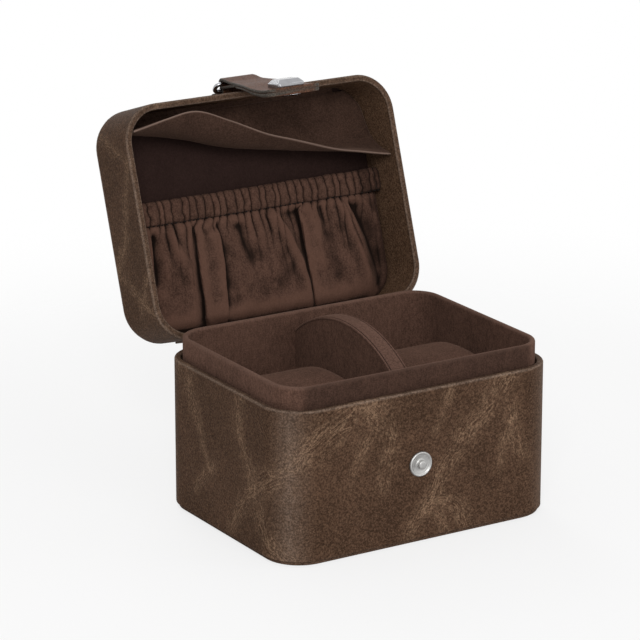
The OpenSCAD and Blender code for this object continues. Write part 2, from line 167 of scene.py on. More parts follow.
def grid_faces(rows, cols, close_rows=False, close_cols=True):
    """Quads of a grid of rows times cols points, joined end to end where they close."""
    faces = []
    for i in range(rows if close_rows else rows - 1):
        a, b = i * cols, (i + 1) % rows * cols
        for j in range(cols if close_cols else cols - 1):
            k = (j + 1) % cols
            faces.append((a + j, a + k, b + k, b + j))
    return faces


def shifted(faces, start):
    """The same faces for points that come start later."""
    return [tuple(start + k for k in face) for face in faces]


def caps(cols, count):
    """Faces over the first and the last cols of count points."""
    return [tuple(range(cols)), tuple(range(count - cols, count))]


def border_of(rows, cols):
    """The points round a grid's border, as (row, column)."""
    return ([(0, j) for j in range(cols)] + [(i, cols - 1) for i in range(1, rows)]
            + [(rows - 1, j) for j in range(cols - 2, -1, -1)] + [(i, 0) for i in range(rows - 2, 0, -1)])


def rolled(rings, first, last):
    """Solid through rings of points, closed by a point at either end."""
    rows, cols = np.shape(rings)[:2]
    faces, end = shifted(grid_faces(rows, cols), 1), rows * cols + 1
    for k in range(cols):
        after = (k + 1) % cols
        faces += [(0, 1 + after, 1 + k), (end, end - cols + k, end - cols + after)]
    return np.concatenate([[first], *rings, [last]]), faces


def make(name, points, faces, material, body=None, *nodes, sharp=40, values=None):
    """A mesh object in metres, in place of CAD nodes. values are numbers kept at each point, for the materials."""
    mesh = bpy.data.meshes.new(name)
    mesh.from_pydata((np.asarray(points) * MM).tolist(), [], [tuple(map(int, f)) for f in faces])
    shape = bmesh.new()
    shape.from_mesh(mesh)
    bmesh.ops.recalc_face_normals(shape, faces=shape.faces)
    shape.to_mesh(mesh)
    shape.free()
    mesh.materials.append(material)
    mesh.shade_smooth()
    mesh.set_sharp_from_angle(angle=math.radians(sharp))
    for key, numbers in (values or {}).items():
        numbers = np.asarray(numbers, np.float32)
        kind, field = ("FLOAT", "value") if numbers.ndim == 1 else ("FLOAT_VECTOR", "vector")
        mesh.attributes.new(key, kind, "POINT").data.foreach_set(field, numbers.ravel())
    piece = bpy.data.objects.new(name, mesh)
    bpy.context.scene.collection.objects.link(piece)
    if body:
        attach(piece, body)
    if nodes:
        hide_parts(*nodes)
    return piece


def arc(inset, z, r, start, end, steps=6):
    """Points of a round edge as (inset, z). Angle 0 looks outwards and 90 looks up."""
    angles = np.radians(np.linspace(start, end, steps + 1))
    return [(inset - r * math.cos(a), z + r * math.sin(a)) for a in angles]


def edge_wear_and_sheen(edge, most):
    """A round edge as (inset, z, wear and sheen), with most in its middle."""
    return [(i, z, most * math.sin(math.pi * (k + 0.5) / len(edge))) for k, (i, z) in enumerate(edge)]


def column(inset, heights):
    """An upright stretch of a profile, with neither wear nor sheen."""
    return [(inset, z, 0) for z in heights]


def shell(name, profile, material, body, *nodes, capped=False, veins=None, rub=0.0):
    """Sweeps a profile of (inset, z, wear and sheen) round the case. rub lightens its upright corners: a painted
    highlight, with a little wear.
    """
    loops = [outline(inset, z) for inset, z, _ in profile]
    points, cols = np.concatenate(loops), len(loops[0])
    faces = grid_faces(len(loops), cols, close_rows=not capped)
    if capped:
        faces += caps(cols, len(points))
    inner = np.abs(points[:, :2]) - [CASE_W / 2 - CORNER_R, CASE_D / 2 - CORNER_R]
    bend = np.clip(inner.min(1) / (0.7 * CORNER_R), 0, 1)
    values = {"wear_and_sheen": np.maximum(np.repeat([wear_and_sheen for *_, wear_and_sheen in profile], cols), rub * bend**2)}
    for key, lines in (veins or {}).items():
        values[key] = flow(points.reshape(-1, cols, 3), lines)
    if body == "lid":
        points = on_lid(points)
    return make(name, points, faces, material, body, *nodes, values=values)


LINE_STEPS = 24  # points along a line
LINE_END = 40  # how far a line goes on beyond its ends
LINE_APART = 61  # from one line's start to the next one's, so that their cracks differ


def flow(grid, lines):
    """For each point of a grid, how it lies to the nearest line: how far along it, how far across in
    half widths, and how near from 0 to 1. A line is its points and its half width at either end."""
    across = np.gradient(np.concatenate([grid[:, -1:], grid, grid[:, :1]], 1), axis=1)[:, 1:-1]
    normal = unit(np.cross(across, np.gradient(grid, axis=0)).reshape(-1, 3))
    points = grid.reshape(-1, 3)
    out = np.zeros((len(points), 3))
    for k, (path, first, last) in enumerate(lines):
        path = resample(path, LINE_STEPS)
        lengths = run_along(path)
        best = np.full(len(points), np.inf)
        here = np.zeros((len(points), 3))
        for i, (a, b) in enumerate(zip(path[:-1], path[1:])):
            ahead = unit(b - a)
            until = LINE_END if i == LINE_STEPS - 2 else np.linalg.norm(b - a)
            held = np.clip((points - a) @ ahead, 0 if i else -LINE_END, until)
            off = points - a - held[:, None] * ahead
            gap, run = np.linalg.norm(off, axis=1), lengths[i] + held
            width = first + (last - first) * np.clip(run / lengths[-1], 0, 1)
            beyond = np.clip(np.maximum(-run, run - lengths[-1]), 0, None)
            side = np.einsum("ij,ij->i", off, np.cross(normal, ahead))
            near = np.exp(-(gap / width / 1.3) ** 2 - (beyond / 5) ** 2)
            new = gap < best
            best = np.where(new, gap, best)
            here[new] = np.stack([run + LINE_APART * k, side / width, near], 1)[new]
        better = here[:, 2] > out[:, 2]
        out[better] = here[better]
    return out


def rows_between(low, high, steps):
    """Even steps from low to high, without the two."""
    return list(np.linspace(low, high, steps + 1))[1:-1]


def spline(stations, values, x):
    """Smooth curve through values at the stations, at x."""
    stations, values = np.asarray(stations, float), np.asarray(values, float)
    slopes = np.gradient(values, stations, axis=0)
    i = np.clip(np.searchsorted(stations, x) - 1, 0, len(stations) - 2)
    step = stations[i + 1] - stations[i]
    t = (x - stations[i]) / step
    shape = (-1,) + (1,) * (values.ndim - 1)
    t, step = t.reshape(shape), step.reshape(shape)
    return ((2 * t**3 - 3 * t**2 + 1) * values[i] + (t**3 - 2 * t**2 + t) * step * slopes[i]
            + (3 * t**2 - 2 * t**3) * values[i + 1] + (t**3 - t**2) * step * slopes[i + 1])


def run_along(path):
    """How far each point of a path is from its start, along it."""
    return np.r_[0, np.cumsum(np.linalg.norm(np.diff(path, axis=0), axis=1))]


def resample(path, count):
    """Evenly spaced points on a smooth curve through path."""
    path = np.asarray(path, float)
    run = run_along(path)
    fine = spline(run, path, np.linspace(0, run[-1], 12 * len(path)))
    run = run_along(fine)
    at = np.linspace(0, run[-1], count)
    return np.stack([np.interp(at, run, column) for column in fine.T], 1)


def sheet_shell(grid, thickness):
    """Closed skin round a grid of points of shape (rows, cols, 3), with rounded borders."""
    rows, cols = grid.shape[:2]
    across, along = unit(np.gradient(grid, axis=1)), unit(np.gradient(grid, axis=0))
    half = unit(np.cross(across, along)) * thickness / 2
    out = []
    for i, j in border_of(rows, cols):
        push = along[i, j] * ((i == rows - 1) - (i == 0)) + across[i, j] * ((j == cols - 1) - (j == 0))
        out.append(grid[i, j] + unit(push) * thickness / 2)
    layer = rows * cols
    faces = grid_faces(rows, cols, close_cols=False)
    faces += [face[::-1] for face in shifted(faces, layer)]
    rim = [i * cols + j for i, j in border_of(rows, cols)]
    for k, (a, b) in enumerate(zip(rim, rim[1:] + rim[:1])):
        c, d = 2 * layer + k, 2 * layer + (k + 1) % len(rim)
        faces += [(b, a, c, d), (d, c, a + layer, b + layer)]
    return np.concatenate([(grid + half).reshape(-1, 3), (grid - half).reshape(-1, 3), out]), faces



def sheet(name, grid, thickness, material, body, node, values, **cloth):
    """A soft piece round a grid of points of the shut lid."""
    points, faces = sheet_shell(grid, thickness)
    piece = make(name, on_lid(points), faces, material, body, node, sharp=70, values=values)
    return piece


def section(width, thickness, across=10, rounding=3):
    """Closed cross-section of a strap as (x, depth), with rounded long edges."""
    r = thickness * ROUNDING
    corners = [points for points, _ in rounded((width / 2, thickness / 2), r, rounding)]
    flat = np.c_[np.linspace(1, -1, across + 1)[1:-1] * (width / 2 - r), np.full(across - 1, thickness / 2)]
    return np.concatenate([*corners[:2], flat, *corners[2:], -flat])


def strap(path, widths, thickness, wear_and_sheen=0.0):
    """Solid strap whose middle runs along path, points of (y, z), with its width along X."""
    path, thickness = np.asarray(path, float), np.broadcast_to(thickness, len(path))
    ahead = unit(np.gradient(path, axis=0))
    loops = []
    for k, (y, z) in enumerate(path):
        x, deep = section(widths[k], thickness[k]).T
        loops.append(np.c_[x, y - ahead[k, 1] * deep, z + ahead[k, 0] * deep])
    points, cols = np.concatenate(loops), len(loops[0])
    faces = grid_faces(len(loops), cols) + caps(cols, len(points))
    reach, deep = np.repeat(np.asarray(widths) / 2, cols), np.repeat(thickness, cols)
    edge = np.clip((np.abs(points[:, 0]) - reach + deep * ROUNDING) / (deep * 0.3), 0, 1)
    return points, faces, {"edge": edge, "wear_and_sheen": edge * wear_and_sheen}


def strap_piece(name, mesh, placed, material, body, *nodes):
    """A strap put in its place."""
    points, faces, values = mesh
    return make(name, placed(points), faces, material, body, *nodes, sharp=60, values=values)


def lathe(profile, steps=48):
    """Solid turned about the Z axis from (radius, height) points, first and last on the axis."""
    turns = whole_turn(steps)
    rings = [np.c_[r * np.cos(turns), r * np.sin(turns), np.full(steps, z)] for r, z in profile[1:-1]]
    return rolled(rings, (0, 0, profile[0][1]), (0, 0, profile[-1][1]))


def stitches(spots, along, lift, length, radius, bulge=4, around=6):
    """Threads lying at spots, each a capsule along its direction, raised by lift."""
    turns = whole_turn(around)
    one = grid_faces(bulge + 1, around) + caps(around, (bulge + 1) * around)
    points, faces = [], []
    for spot, ahead, up in zip(spots, along, lift):
        ahead = unit(ahead)
        up = unit(up - ahead * (up @ ahead))
        side = np.cross(ahead, up)
        faces += shifted(one, len(points))
        for t in np.linspace(-1, 1, bulge + 1):
            r = radius * math.sqrt(max(1 - (abs(t) * 0.94) ** 3, 0.02))
            middle = spot + ahead * t * length / 2 - up * radius * 0.9 * t * t
            points += [middle + r * (math.cos(a) * side + math.sin(a) * up) for a in turns]
    return np.array(points), faces


# ---- materials


class Shader:
    """The nodes of a material or of the world, written one line at a time."""

    def __init__(self, name, store=bpy.data.materials):
        self.made = store.new(name)
        self.made.use_nodes = True
        self.tree = self.made.node_tree

    def feed(self, node, inputs):
        """Links outputs to a node's inputs, or sets constants on them."""
        for key, value in inputs.items():
            if isinstance(value, bpy.types.NodeSocket):
                self.tree.links.new(value, node.inputs[key])
            else:
                node.inputs[key].default_value = value

    def node(self, kind, inputs=None, output=0, **settings):
        """An output of a new node."""
        made = self.tree.nodes.new("ShaderNode" + kind)
        for key, value in settings.items():
            setattr(made, key, value)
        self.feed(made, inputs or {})
        return made.outputs[output]

    def vector(self, operation, a, b):
        return self.node("VectorMath", {0: a, 1: b}, operation=operation)

    def place(self):
        """The point on the object, in millimetres."""
        return self.vector("MULTIPLY", self.node("TexCoord", output="Object"), (1000, 1000, 1000))

    def kept(self, name, output="Fac"):
        """What the mesh keeps under a name."""
        return self.node("Attribute", output=output, attribute_name=name)

    def math(self, operation, a, b=0.0, clamp=False):
        return self.node("Math", {0: a, 1: b}, operation=operation, use_clamp=clamp)

    def times(self, a, b, clamp=False):
        return self.math("MULTIPLY", a, b, clamp)

    def total(self, start, *parts):
        """start and its parts, each a value and its weight."""
        for value, weight in parts:
            start = self.node("Math", {0: value, 1: weight, 2: start}, operation="MULTIPLY_ADD")
        return start

    def noise(self, where, size, detail=3, rough=0.55, warp=0.0, output="Fac"):
        """Noise from 0 to 1 whose features are about size millimetres."""
        return self.node("TexNoise", {"Vector": where, "Scale": 1 / size, "Detail": detail, "Roughness": rough,
                                      "Distortion": warp}, output)

    def cells(self, where, size, feature="F1"):
        return self.node("TexVoronoi", {"Vector": where, "Scale": 1 / size}, "Distance", feature=feature)

    def stretched(self, where, turn, scale):
        """The place turned by angles in degrees and then scaled along each axis."""
        return self.node("Mapping", {"Vector": where, "Rotation": [math.radians(a) for a in turn], "Scale": scale})

    def warped(self, spot, size, amount, where=None):
        """The spot pushed about by noise of that size, read at where."""
        push = self.noise(spot if where is None else where, size, 2, 0.5, output="Color")
        centred = self.vector("SUBTRACT", push, (0.5, 0.5, 0.5))
        return self.vector("ADD", spot, self.node("VectorMath", {0: centred, "Scale": amount}, operation="SCALE"))

    def ramp(self, value, low, high):
        """0 at low and 1 at high."""
        return self.node("MapRange", {"Value": value, "From Min": low, "From Max": high},
                         interpolation_type="SMOOTHSTEP", clamp=True)

    def mix(self, share, a, b, blend="MIX"):
        return self.node("Mix", {0: share, 6: a, 7: b}, 2, data_type="RGBA", blend_type=blend)

    def over(self, color, share, most, other):
        """A colour with up to most of the other laid over it."""
        return self.mix(self.times(share, most), color, other)

    def shaded(self, color, tone):
        return self.mix(1.0, color, self.node("CombineColor", {0: tone, 1: tone, 2: tone}), "MULTIPLY")

    def finish(self, color, roughness, height, bump_mm, **constants):
        bump = self.node("Bump", {"Strength": 1.0, "Distance": bump_mm * MM, "Height": height})
        inputs = {"Base Color": color, "Roughness": roughness, "Normal": bump}
        inputs.update({key.replace("_", " "): value for key, value in constants.items()})
        self.feed(self.tree.nodes["Principled BSDF"], inputs)
        return self.made


def rgb(color, tone=1.0):
    """A colour written as it looks on screen, from 0 to 255, times tone, as linear light."""
    shown = np.array(color) * tone / 255
    return (*np.where(shown <= 0.04, shown / 12.92, ((shown + 0.055) / 1.055) ** 2.4).tolist(), 1)


F, B, L, R, TOP = FRONT_Y, -FRONT_Y, -CASE_W / 2, CASE_W / 2, LID_TOP  # the case's faces
# Bundles of cracks in the leather's wax: points along each, and its half width at either end
BASE_VEINS = {
    "veins_a": [
        ([(L, -9, 8), (L, -21, 24), (L, -37, 36), (-64, -48, 44), (-57, -52, 52), (-51, F, 57), (-42, F, 62),
          (-33, F, 67), (-24, F, 73)], 2.4, 7.0),
        ([(-9, F, 1), (-5, F, 9), (-2, F, 13), (4, F, 19), (8, F, 27), (12, F, 34), (19, F, 42), (24, F, 48),
          (31, F, 53), (36, F, 60), (42, F, 68)], 2.6, 5.0),
        ([(L, 20, 17), (L, 15, 22), (L, 8, 29)], 2.0, 2.5), ([(-36, F, 37), (-33, F, 45), (-30, F, 50)], 1.5, 2.5),
        ([(40, F, 30), (41, F, 38), (45, F, 46)], 1.5, 2.0), ([(7, F, 52), (9, F, 57), (12, F, 64)], 1.5, 2.0),
        ([(R, -30, 10), (R, -8, 40), (R, 10, 66)], 3.0, 6.0), ([(50, B, 6), (30, B, 30), (16, B, 64)], 3.0, 6.0),
        ([(-60, B, 60), (-48, B, 40), (-20, B, 8)], 3.0, 5.0)],
    "veins_b": [
        ([(-66, -47, 0), (-69, -41, 6), (L, -34, 16), (L, -28, 30), (L, -20, 42), (L, -15, 54), (L, -16, 65)],
         4.5, 3.0),
        ([(L, 12, 30), (L, 16, 38), (L, 19, 45), (L, 24, 54), (L, 29, 62), (L, 34, 70)], 1.2, 4.5),
        ([(-21, F, 31), (-19, F, 40), (-18, F, 48), (-19, F, 54), (-24, F, 61), (-29, F, 66)], 3.0, 4.0),
        ([(22, F, 1), (19, F, 8), (15, F, 14), (8, F, 17), (2, F, 15)], 3.5, 2.5),
        ([(12, F, 2), (10, F, 7), (7, F, 12)], 2.0, 2.5), ([(52, F, 30), (47, F, 40), (44, F, 52)], 2.0, 3.0),
        ([(R, 34, 12), (R, 24, 34), (R, 20, 60)], 4.0, 3.0), ([(20, B, 10), (14, B, 36), (0, B, 64)], 3.0, 5.0)],
}
LID_VEINS = {
    "veins_a": [
        ([(L, -24, 4), (L, -12, 11), (L, 4, 16), (L, 16, 28)], 1.6, 2.6), ([(L, 24, 3), (L, 36, 12)], 1.8, 1.8),
        ([(-50, F, 3), (-38, F, 14), (-26, F, 28)], 3.0, 4.0),
        ([(-60, -46, TOP), (-20, -20, TOP), (10, 8, TOP), (26, 40, TOP)], 3.0, 7.0),
        ([(20, -50, TOP), (44, -10, TOP), (66, 10, TOP)], 3.0, 6.0),
        ([(R, -30, 4), (R, -8, 14), (R, 4, 28)], 3.0, 5.0), ([(-30, B, 3), (-12, B, 14), (0, B, 28)], 3.0, 5.0)],
    "veins_b": [
        ([(L, -30, 4), (L, -36, 14), (L, -42, 26)], 1.4, 2.0), ([(L, 38, 4), (L, 30, 14), (L, 20, 26)], 1.4, 2.0),
        ([(-64, 20, TOP), (-36, 36, TOP), (-20, 52, TOP)], 3.0, 6.0), ([(60, 48, TOP), (40, 30, TOP)], 3.0, 5.0),
        ([(44, B, 4), (34, B, 14), (20, B, 27)], 3.0, 4.0)],
}


def strands(s, where, key):
    """Thin crooked lines that run along the veins kept under key, and how near the vein is."""
    along, across, near = (s.node("SeparateXYZ", {0: s.kept(key, "Vector")}, axis) for axis in "XYZ")
    ragged = s.ramp(s.noise(where, 7, 4, 0.7), 0.3, 0.62)
    near = s.times(near, s.total(0.2, (ragged, 1.25)), clamp=True)
    spot = s.node("CombineXYZ", {"X": s.times(along, 0.2), "Y": s.times(across, 4.6)})
    for size, amount in ((12, 3.0), (3.0, 0.35)):
        spot = s.warped(spot, size, amount, where)
    lines = [s.ramp(s.cells(spot, size, "DISTANCE_TO_EDGE"), thin, 0.02)
             for size, thin in ((1.5, 0.11), (2.7, 0.08))]
    return s.math("MAXIMUM", *lines), near


def leather(name, veined, tone=1.0, edge_color=None, clouds=1.0, gloss=0.015):
    """Waxed, distressed dark brown leather: fine grain, clouds of tone, tan cracks along its veins, and a lighter
    colour on worn edges and as a painted highlight down upright corners.
    """
    s = Shader(name)
    where = s.place()
    mottle, grain = s.noise(where, 5, 4, 0.6), s.noise(where, 0.72, 2, 0.6)
    pebble = s.cells(s.warped(where, 1.4, 0.6), 1.0)
    curl = s.noise(s.warped(where, 2.2, 1.4), 1.5, 1, 0.5)
    crease = s.ramp(s.math("ABSOLUTE", s.math("SUBTRACT", curl, 0.5)), 0.07, 0.0)
    cloud = s.ramp(s.noise(where, 26, 3, 0.5), 0.3, 0.7)
    patch = s.ramp(s.noise(where, 13, 4, 0.65), 0.55, 0.78)
    # What lies over the dark wax, from the lowest up: where, how much of it at most, and its colour
    layers = [(cloud, clouds, (79, 59, 46)), (s.ramp(mottle, 0.42, 0.78), 0.35, (92, 70, 55)),
              (patch, 0.22 * clouds, (100, 74, 57)), (crease, 0.3, (112, 88, 71))]
    for key in ("veins_a", "veins_b") if veined else ():
        line, near = strands(s, where, key)
        layers += [(near, 0.12, (94, 71, 56)), (s.times(line, near), 0.5, (138, 112, 90))]
    # Lighter on worn edges, and as a painted highlight down the upright corners
    rubbed = s.total(0.5, (s.ramp(s.noise(where, 2.2, 3), 0.25, 0.7), 0.4))
    layers += [(s.ramp(pebble, 0.45, 0.8), 0.35, (52, 37, 29)),
               (s.times(s.kept("wear_and_sheen"), rubbed), 0.72, (132, 114, 101))]
    color = rgb((69, 51, 39), tone)
    for share, most, other in layers:
        color = s.over(color, share, most, rgb(other, tone))
    color = s.shaded(color, s.total(0.66, (s.ramp(grain, 0.36, 0.64), 0.7)))
    if edge_color:
        raw = s.mix(s.ramp(s.noise(where, 0.6, 3, 0.7), 0.35, 0.7), rgb(edge_color), rgb((96, 88, 80)))
        color = s.mix(s.kept("edge"), color, raw)
    height = s.total(0.0, (pebble, -0.6), (grain, 0.5), (mottle, 0.6))
    return s.finish(color, s.total(0.42, (mottle, 0.2)), height, 0.16, Specular_IOR_Level=gloss)


def suede(name, base, spread=0.16, sheen=0.25, light_edge=None, paints_shading=False):
    """Short-napped suede: a soft fuzz, brushed lighter and darker in clouds, a lighter edge where asked, and
    painted shade in its hollows with painted highlight where it stands out.
    """
    s = Shader(name)
    where = s.place()
    cloud, fuzz = s.noise(where, 3.4, 3, 0.6), s.noise(where, 0.66, 2, 0.7)
    brushed = s.noise(s.stretched(where, (0, 20, 0), (1, 1, 0.6)), 12, 4, 0.6, 0.6)
    fibre = s.noise(s.stretched(where, (10, 20, 40), (1, 1, 0.35)), 0.9, 2, 0.7)
    tone = s.total(1 - spread * 2.4, (s.ramp(brushed, 0.3, 0.7), spread), (s.ramp(cloud, 0.3, 0.72), spread * 0.7),
                   (s.ramp(fuzz, 0.36, 0.64), spread * 2.1), (s.ramp(fibre, 0.34, 0.66), spread * 1.2))
    color = s.shaded(rgb(base), tone)
    if light_edge:
        color = s.mix(s.kept("wear_and_sheen"), color, rgb(light_edge))
    # painted shade where the skin lies hollow, and painted highlight where it stands out
    if paints_shading:  # dark where it is hollow, and light where it stands out
        for gain, shade in ((1.0, 0.36), (-0.7, 1.3)):
            color = s.mix(s.times(s.kept("painted_shading"), gain, clamp=True), color, rgb(base, shade))
    height = s.total(0.0, (fuzz, 0.6), (fibre, 0.5), (cloud, 0.7))
    return s.finish(color, 0.93, height, 0.12, Specular_IOR_Level=0.02, Sheen_Weight=sheen, Sheen_Roughness=0.5,
                    Sheen_Tint=rgb((150, 122, 108)))


def metal(name, color, rough):
    """Nickel plate with fine rub marks."""
    s = Shader(name)
    where = s.place()
    rub = s.noise(s.stretched(where, (0, 0, 30), (1, 6, 1)), 0.6, 3, 0.6)
    tint = s.over(rgb(color), s.ramp(s.noise(where, 3, 3), 0.35, 0.75), 0.25, rgb(color, 0.8))
    return s.finish(tint, s.total(rough, (s.ramp(rub, 0.3, 0.7), 0.08)), s.times(rub, 0.3), 0.01, Metallic=1.0)


def plain_fibre(name, color, size=0.5, nap=0.08):
    """Card, elastic or thread: a matt body with a fine broken surface."""
    s = Shader(name)
    where = s.place()
    fine = s.noise(where, size, 3, 0.7)
    tint = s.mix(s.ramp(fine, 0.3, 0.7), rgb(color, 0.82), rgb(color))
    tint = s.over(tint, s.ramp(s.noise(where, size * 9, 3), 0.4, 0.7), 0.25, rgb(color, 0.75))
    return s.finish(tint, 0.9, fine, nap, Specular_IOR_Level=0.2)


CASE_LEATHER = leather("case_leather", True)
PLAIN_LEATHER = leather("plain_leather", False)
# A lighter copy of the case's leather for the lid's inside: painted light that makes up for the shade there
BRIGHTENED_LINING_LEATHER = leather("brightened_lining_leather", False, tone=(1.3, 1.33, 1.33), clouds=0.5)
TAB_LEATHER = leather("tab_leather", False, tone=(1.2, 1.07, 1.03), gloss=0.08,
                      edge_color=(52, 49, 45), clouds=0.2)
# light_edge paints a highlight on the collar's rounded top
SUEDE, COLLAR_SUEDE = (suede(name, (88, 65, 55), spread=0.22, light_edge=(120, 95, 84), paints_shading=paints_shading)
                       for name, paints_shading in (("tray_suede", False), ("collar_suede", True)))
BINDING_SUEDE = suede("binding_suede", (98, 74, 64), spread=0.2, paints_shading=True)
POCKET_SUEDE = suede("pocket_suede", (78, 57, 48), spread=0.27, sheen=0.18, paints_shading=True)
FLAP_SUEDE = suede("flap_suede", (66, 49, 41), spread=0.2, light_edge=(134, 113, 102))
PANEL_SUEDE = suede("panel_suede", (47, 34, 31), spread=0.1, sheen=0.1)
NICKEL = metal("nickel", (168, 168, 171), 0.08)
STUD_METAL = metal("stud_metal", (184, 183, 181), 0.42)
CARD = plain_fibre("box_board", (150, 128, 104))
THREAD = plain_fibre("dark_thread", (26, 18, 16), 0.25, 0.05)
BINDING_THREAD = plain_fibre("binding_thread", (48, 35, 29), 0.25, 0.05)
ELASTIC = plain_fibre("elastic_weave", (50, 36, 30), 0.6)

# The slot of each material
SLOT = {THREAD: "lid_suede", **dict.fromkeys((NICKEL, STUD_METAL), "nickel"),
        **dict.fromkeys((CASE_LEATHER, PLAIN_LEATHER, BRIGHTENED_LINING_LEATHER, TAB_LEATHER), "case_leather"),
        **dict.fromkeys((SUEDE, COLLAR_SUEDE, BINDING_SUEDE, POCKET_SUEDE, FLAP_SUEDE, BINDING_THREAD),
                        "tray_suede")}

# The CAD nodes that are seen as they are
NODE_FINISH = {CARD: ("bottom_board", "base_board", "floor_board", "collar_board", "divider_core", "lid_board",
                      "lid_top_board"),
               SUEDE: ("tray_suede",), PANEL_SUEDE: ("lid_panel_suede",), FLAP_SUEDE: ("flap_band",),
               ELASTIC: ("pocket_elastic",), NICKEL: ("stud_rivet", "tab_rivet")}
for finish, names in NODE_FINISH.items():
    for node in names:
        mesh = frame["nodes"][node].data
        mesh.materials.clear()
        mesh.materials.append(finish)

# ---- base

EDGE_R, FOOT_R = 1.0, 0.5
TUCK_R = 0.8 * EDGE_R  # rounding where the leather turns down inside the rim
TUCK_IN, TUCK_Z = WALL_IN + 0.6, BASE_H - 10.0
FOOT_Z, RIM_Z = SHELL_Z + FOOT_R, BASE_H - EDGE_R

profile = [(TURN_IN, SHELL_Z, 0), (3 * EDGE_R, SHELL_Z, 0), *edge_wear_and_sheen(arc(FOOT_R, FOOT_Z, FOOT_R, -90, 0), 0.2)]
profile += column(0, (FOOT_Z + 0.4, *rows_between(FOOT_Z, RIM_Z, 32), RIM_Z - 0.3))
profile += edge_wear_and_sheen(arc(EDGE_R, RIM_Z, EDGE_R, 0, 90), 0.9)
profile += edge_wear_and_sheen(arc(TUCK_IN - TUCK_R, BASE_H - TUCK_R, TUCK_R, 90, 180), 0.7)
profile += column(TUCK_IN, (BASE_H - 2, TUCK_Z)) + column(WALL_IN, (TUCK_Z, BASE_H - 1.2))
profile += column(LEATHER_T, (BASE_H - 1.2, SHELL_Z + 0.8)) + [(TURN_IN, SHELL_Z + 0.8, 0)]
# rub paints a highlight down the base's upright corners, with a little wear
shell("base_leather_skin", profile, CASE_LEATHER, "base", "base_leather", veins=BASE_VEINS, rub=0.6)

PANEL_R = 0.6  # rounding of the panels under the base and on the lid
BOTTOM_IN = CASE_W / 2 - box("bottom_cover")[1][0]
profile = [(BOTTOM_IN + PANEL_R, SHELL_Z - 0.02), *arc(BOTTOM_IN + PANEL_R, SHELL_Z - PANEL_R, PANEL_R, 90, 0, 3),
           *arc(BOTTOM_IN + PANEL_R, PANEL_R, PANEL_R, 0, -90, 4)]
shell("bottom_panel_skin", [(*p, 0.2) for p in profile], PLAIN_LEATHER, "base", "bottom_cover", "bottom_board",
      capped=True)

collar_high = box("collar_suede")[1]
COLLAR_OUT, COLLAR_TOP = CASE_W / 2 - collar_high[0], collar_high[2]
TRAY_IN = COLLAR_OUT + 2.5
TRAY_Z = box("tray_suede")[1][2]
COLLAR_R = (TRAY_IN - COLLAR_OUT) / 2
COLLAR_FOOT, COLLAR_IN = BASE_H - 18, COLLAR_TOP - 2  # its hidden lower end, and its inner top

profile = column(COLLAR_OUT, (COLLAR_FOOT, BASE_H - 4, BASE_H + 1, BASE_H + 4, COLLAR_TOP - 3, COLLAR_TOP - 1.6))
# Its rounded top is lightened as a painted highlight
profile += edge_wear_and_sheen(arc(COLLAR_OUT + COLLAR_R, COLLAR_TOP - COLLAR_R, COLLAR_R, 0, 180, 10), 0.4)
profile += column(TRAY_IN, (COLLAR_TOP - 1.6, COLLAR_TOP - 3, COLLAR_TOP - 8, 60, 45, 30, 15, TRAY_Z))
profile += column(TRAY_IN - 0.5, (TRAY_Z, COLLAR_IN)) + column(COLLAR_OUT + 0.5, (COLLAR_IN, COLLAR_FOOT))
collar = shell("collar_suede_skin", profile, COLLAR_SUEDE, "base", "collar_suede")
# Painted shade on the collar's outer front, which is made darker than its top
FRONT_SHADE, FRONT_SHADE_END = 0.53, 1.2  # how dark, and how far behind the front it ends
behind = np.array([v.co[1] for v in collar.data.vertices]) / MM - (FRONT_Y + COLLAR_OUT)
front_shade = collar.data.attributes.new("painted_shading", "FLOAT", "POINT")
front_shade.data.foreach_set("value", (FRONT_SHADE * np.clip(1.3 - behind / FRONT_SHADE_END, 0, 1)).astype(np.float32))

# ---- divider

arch_low, arch_high = box("divider_binding")
ARCH_TOP, ARCH_MID, ARCH_R = arch_high[2], 6.0, 65.0
ARCH_Z = ARCH_TOP - ARCH_R
BINDING_W = arch_high[0] - arch_low[0]
side_high = box("divider_suede")[1]
TRAY_HALF_D = side_high[1]


def divider_sides(rows=26, cols=48, puff=0.35):
    """The two suede faces, slightly padded, each with the board's thickness behind it."""
    y, t = np.meshgrid(np.linspace(-TRAY_HALF_D, TRAY_HALF_D, cols), np.linspace(0, 1, rows))
    top = ARCH_Z + np.sqrt((ARCH_R - 0.9) ** 2 - (y - ARCH_MID) ** 2)
    z = TRAY_Z + (top - TRAY_Z) * t
    edge = np.clip(np.minimum((TRAY_HALF_D - np.abs(y)) / 9, (top - z) / 7), 0, 1)
    face = side_high[0] - 0.1 + puff * np.sin(edge * math.pi / 2)
    layer = rows * cols
    one = grid_faces(rows, cols, close_cols=False)
    one += shifted(one, layer)
    rim = [i * cols + j for i, j in border_of(rows, cols)]
    one += [(a, b, b + layer, a + layer) for a, b in zip(rim, rim[1:] + rim[:1])]
    points = [np.stack([side * x, y, z], 2).reshape(-1, 3)
              for side in (-1, 1) for x in (face, np.full_like(face, side_high[0] - 0.8))]
    return np.concatenate(points), one + shifted(one, 2 * layer)


make("divider_suede_skin", *divider_sides(), SUEDE, "base", "divider_suede")

# Cross-section of the binding from its edge to its middle: (from the edge, height, painted shading: shade in its
# grooves, highlight on its lips)
BINDING_CUT = [(0.1, -1.0, 0.1), (0, -0.6, 0), (0.12, -0.22, -0.2), (0.4, -0.05, -0.4), (0.66, -0.12, 0),
               (0.86, -0.36, 0.8), (1.02, -0.38, 0.8), (1.25, -0.04, 0.1), (1.8, 0.08, -0.1), (3.2, 0.15, 0),
               (BINDING_W / 2, 0.18, 0)]
THREAD_IN = 0.94  # from the binding's edge to its thread, in its groove


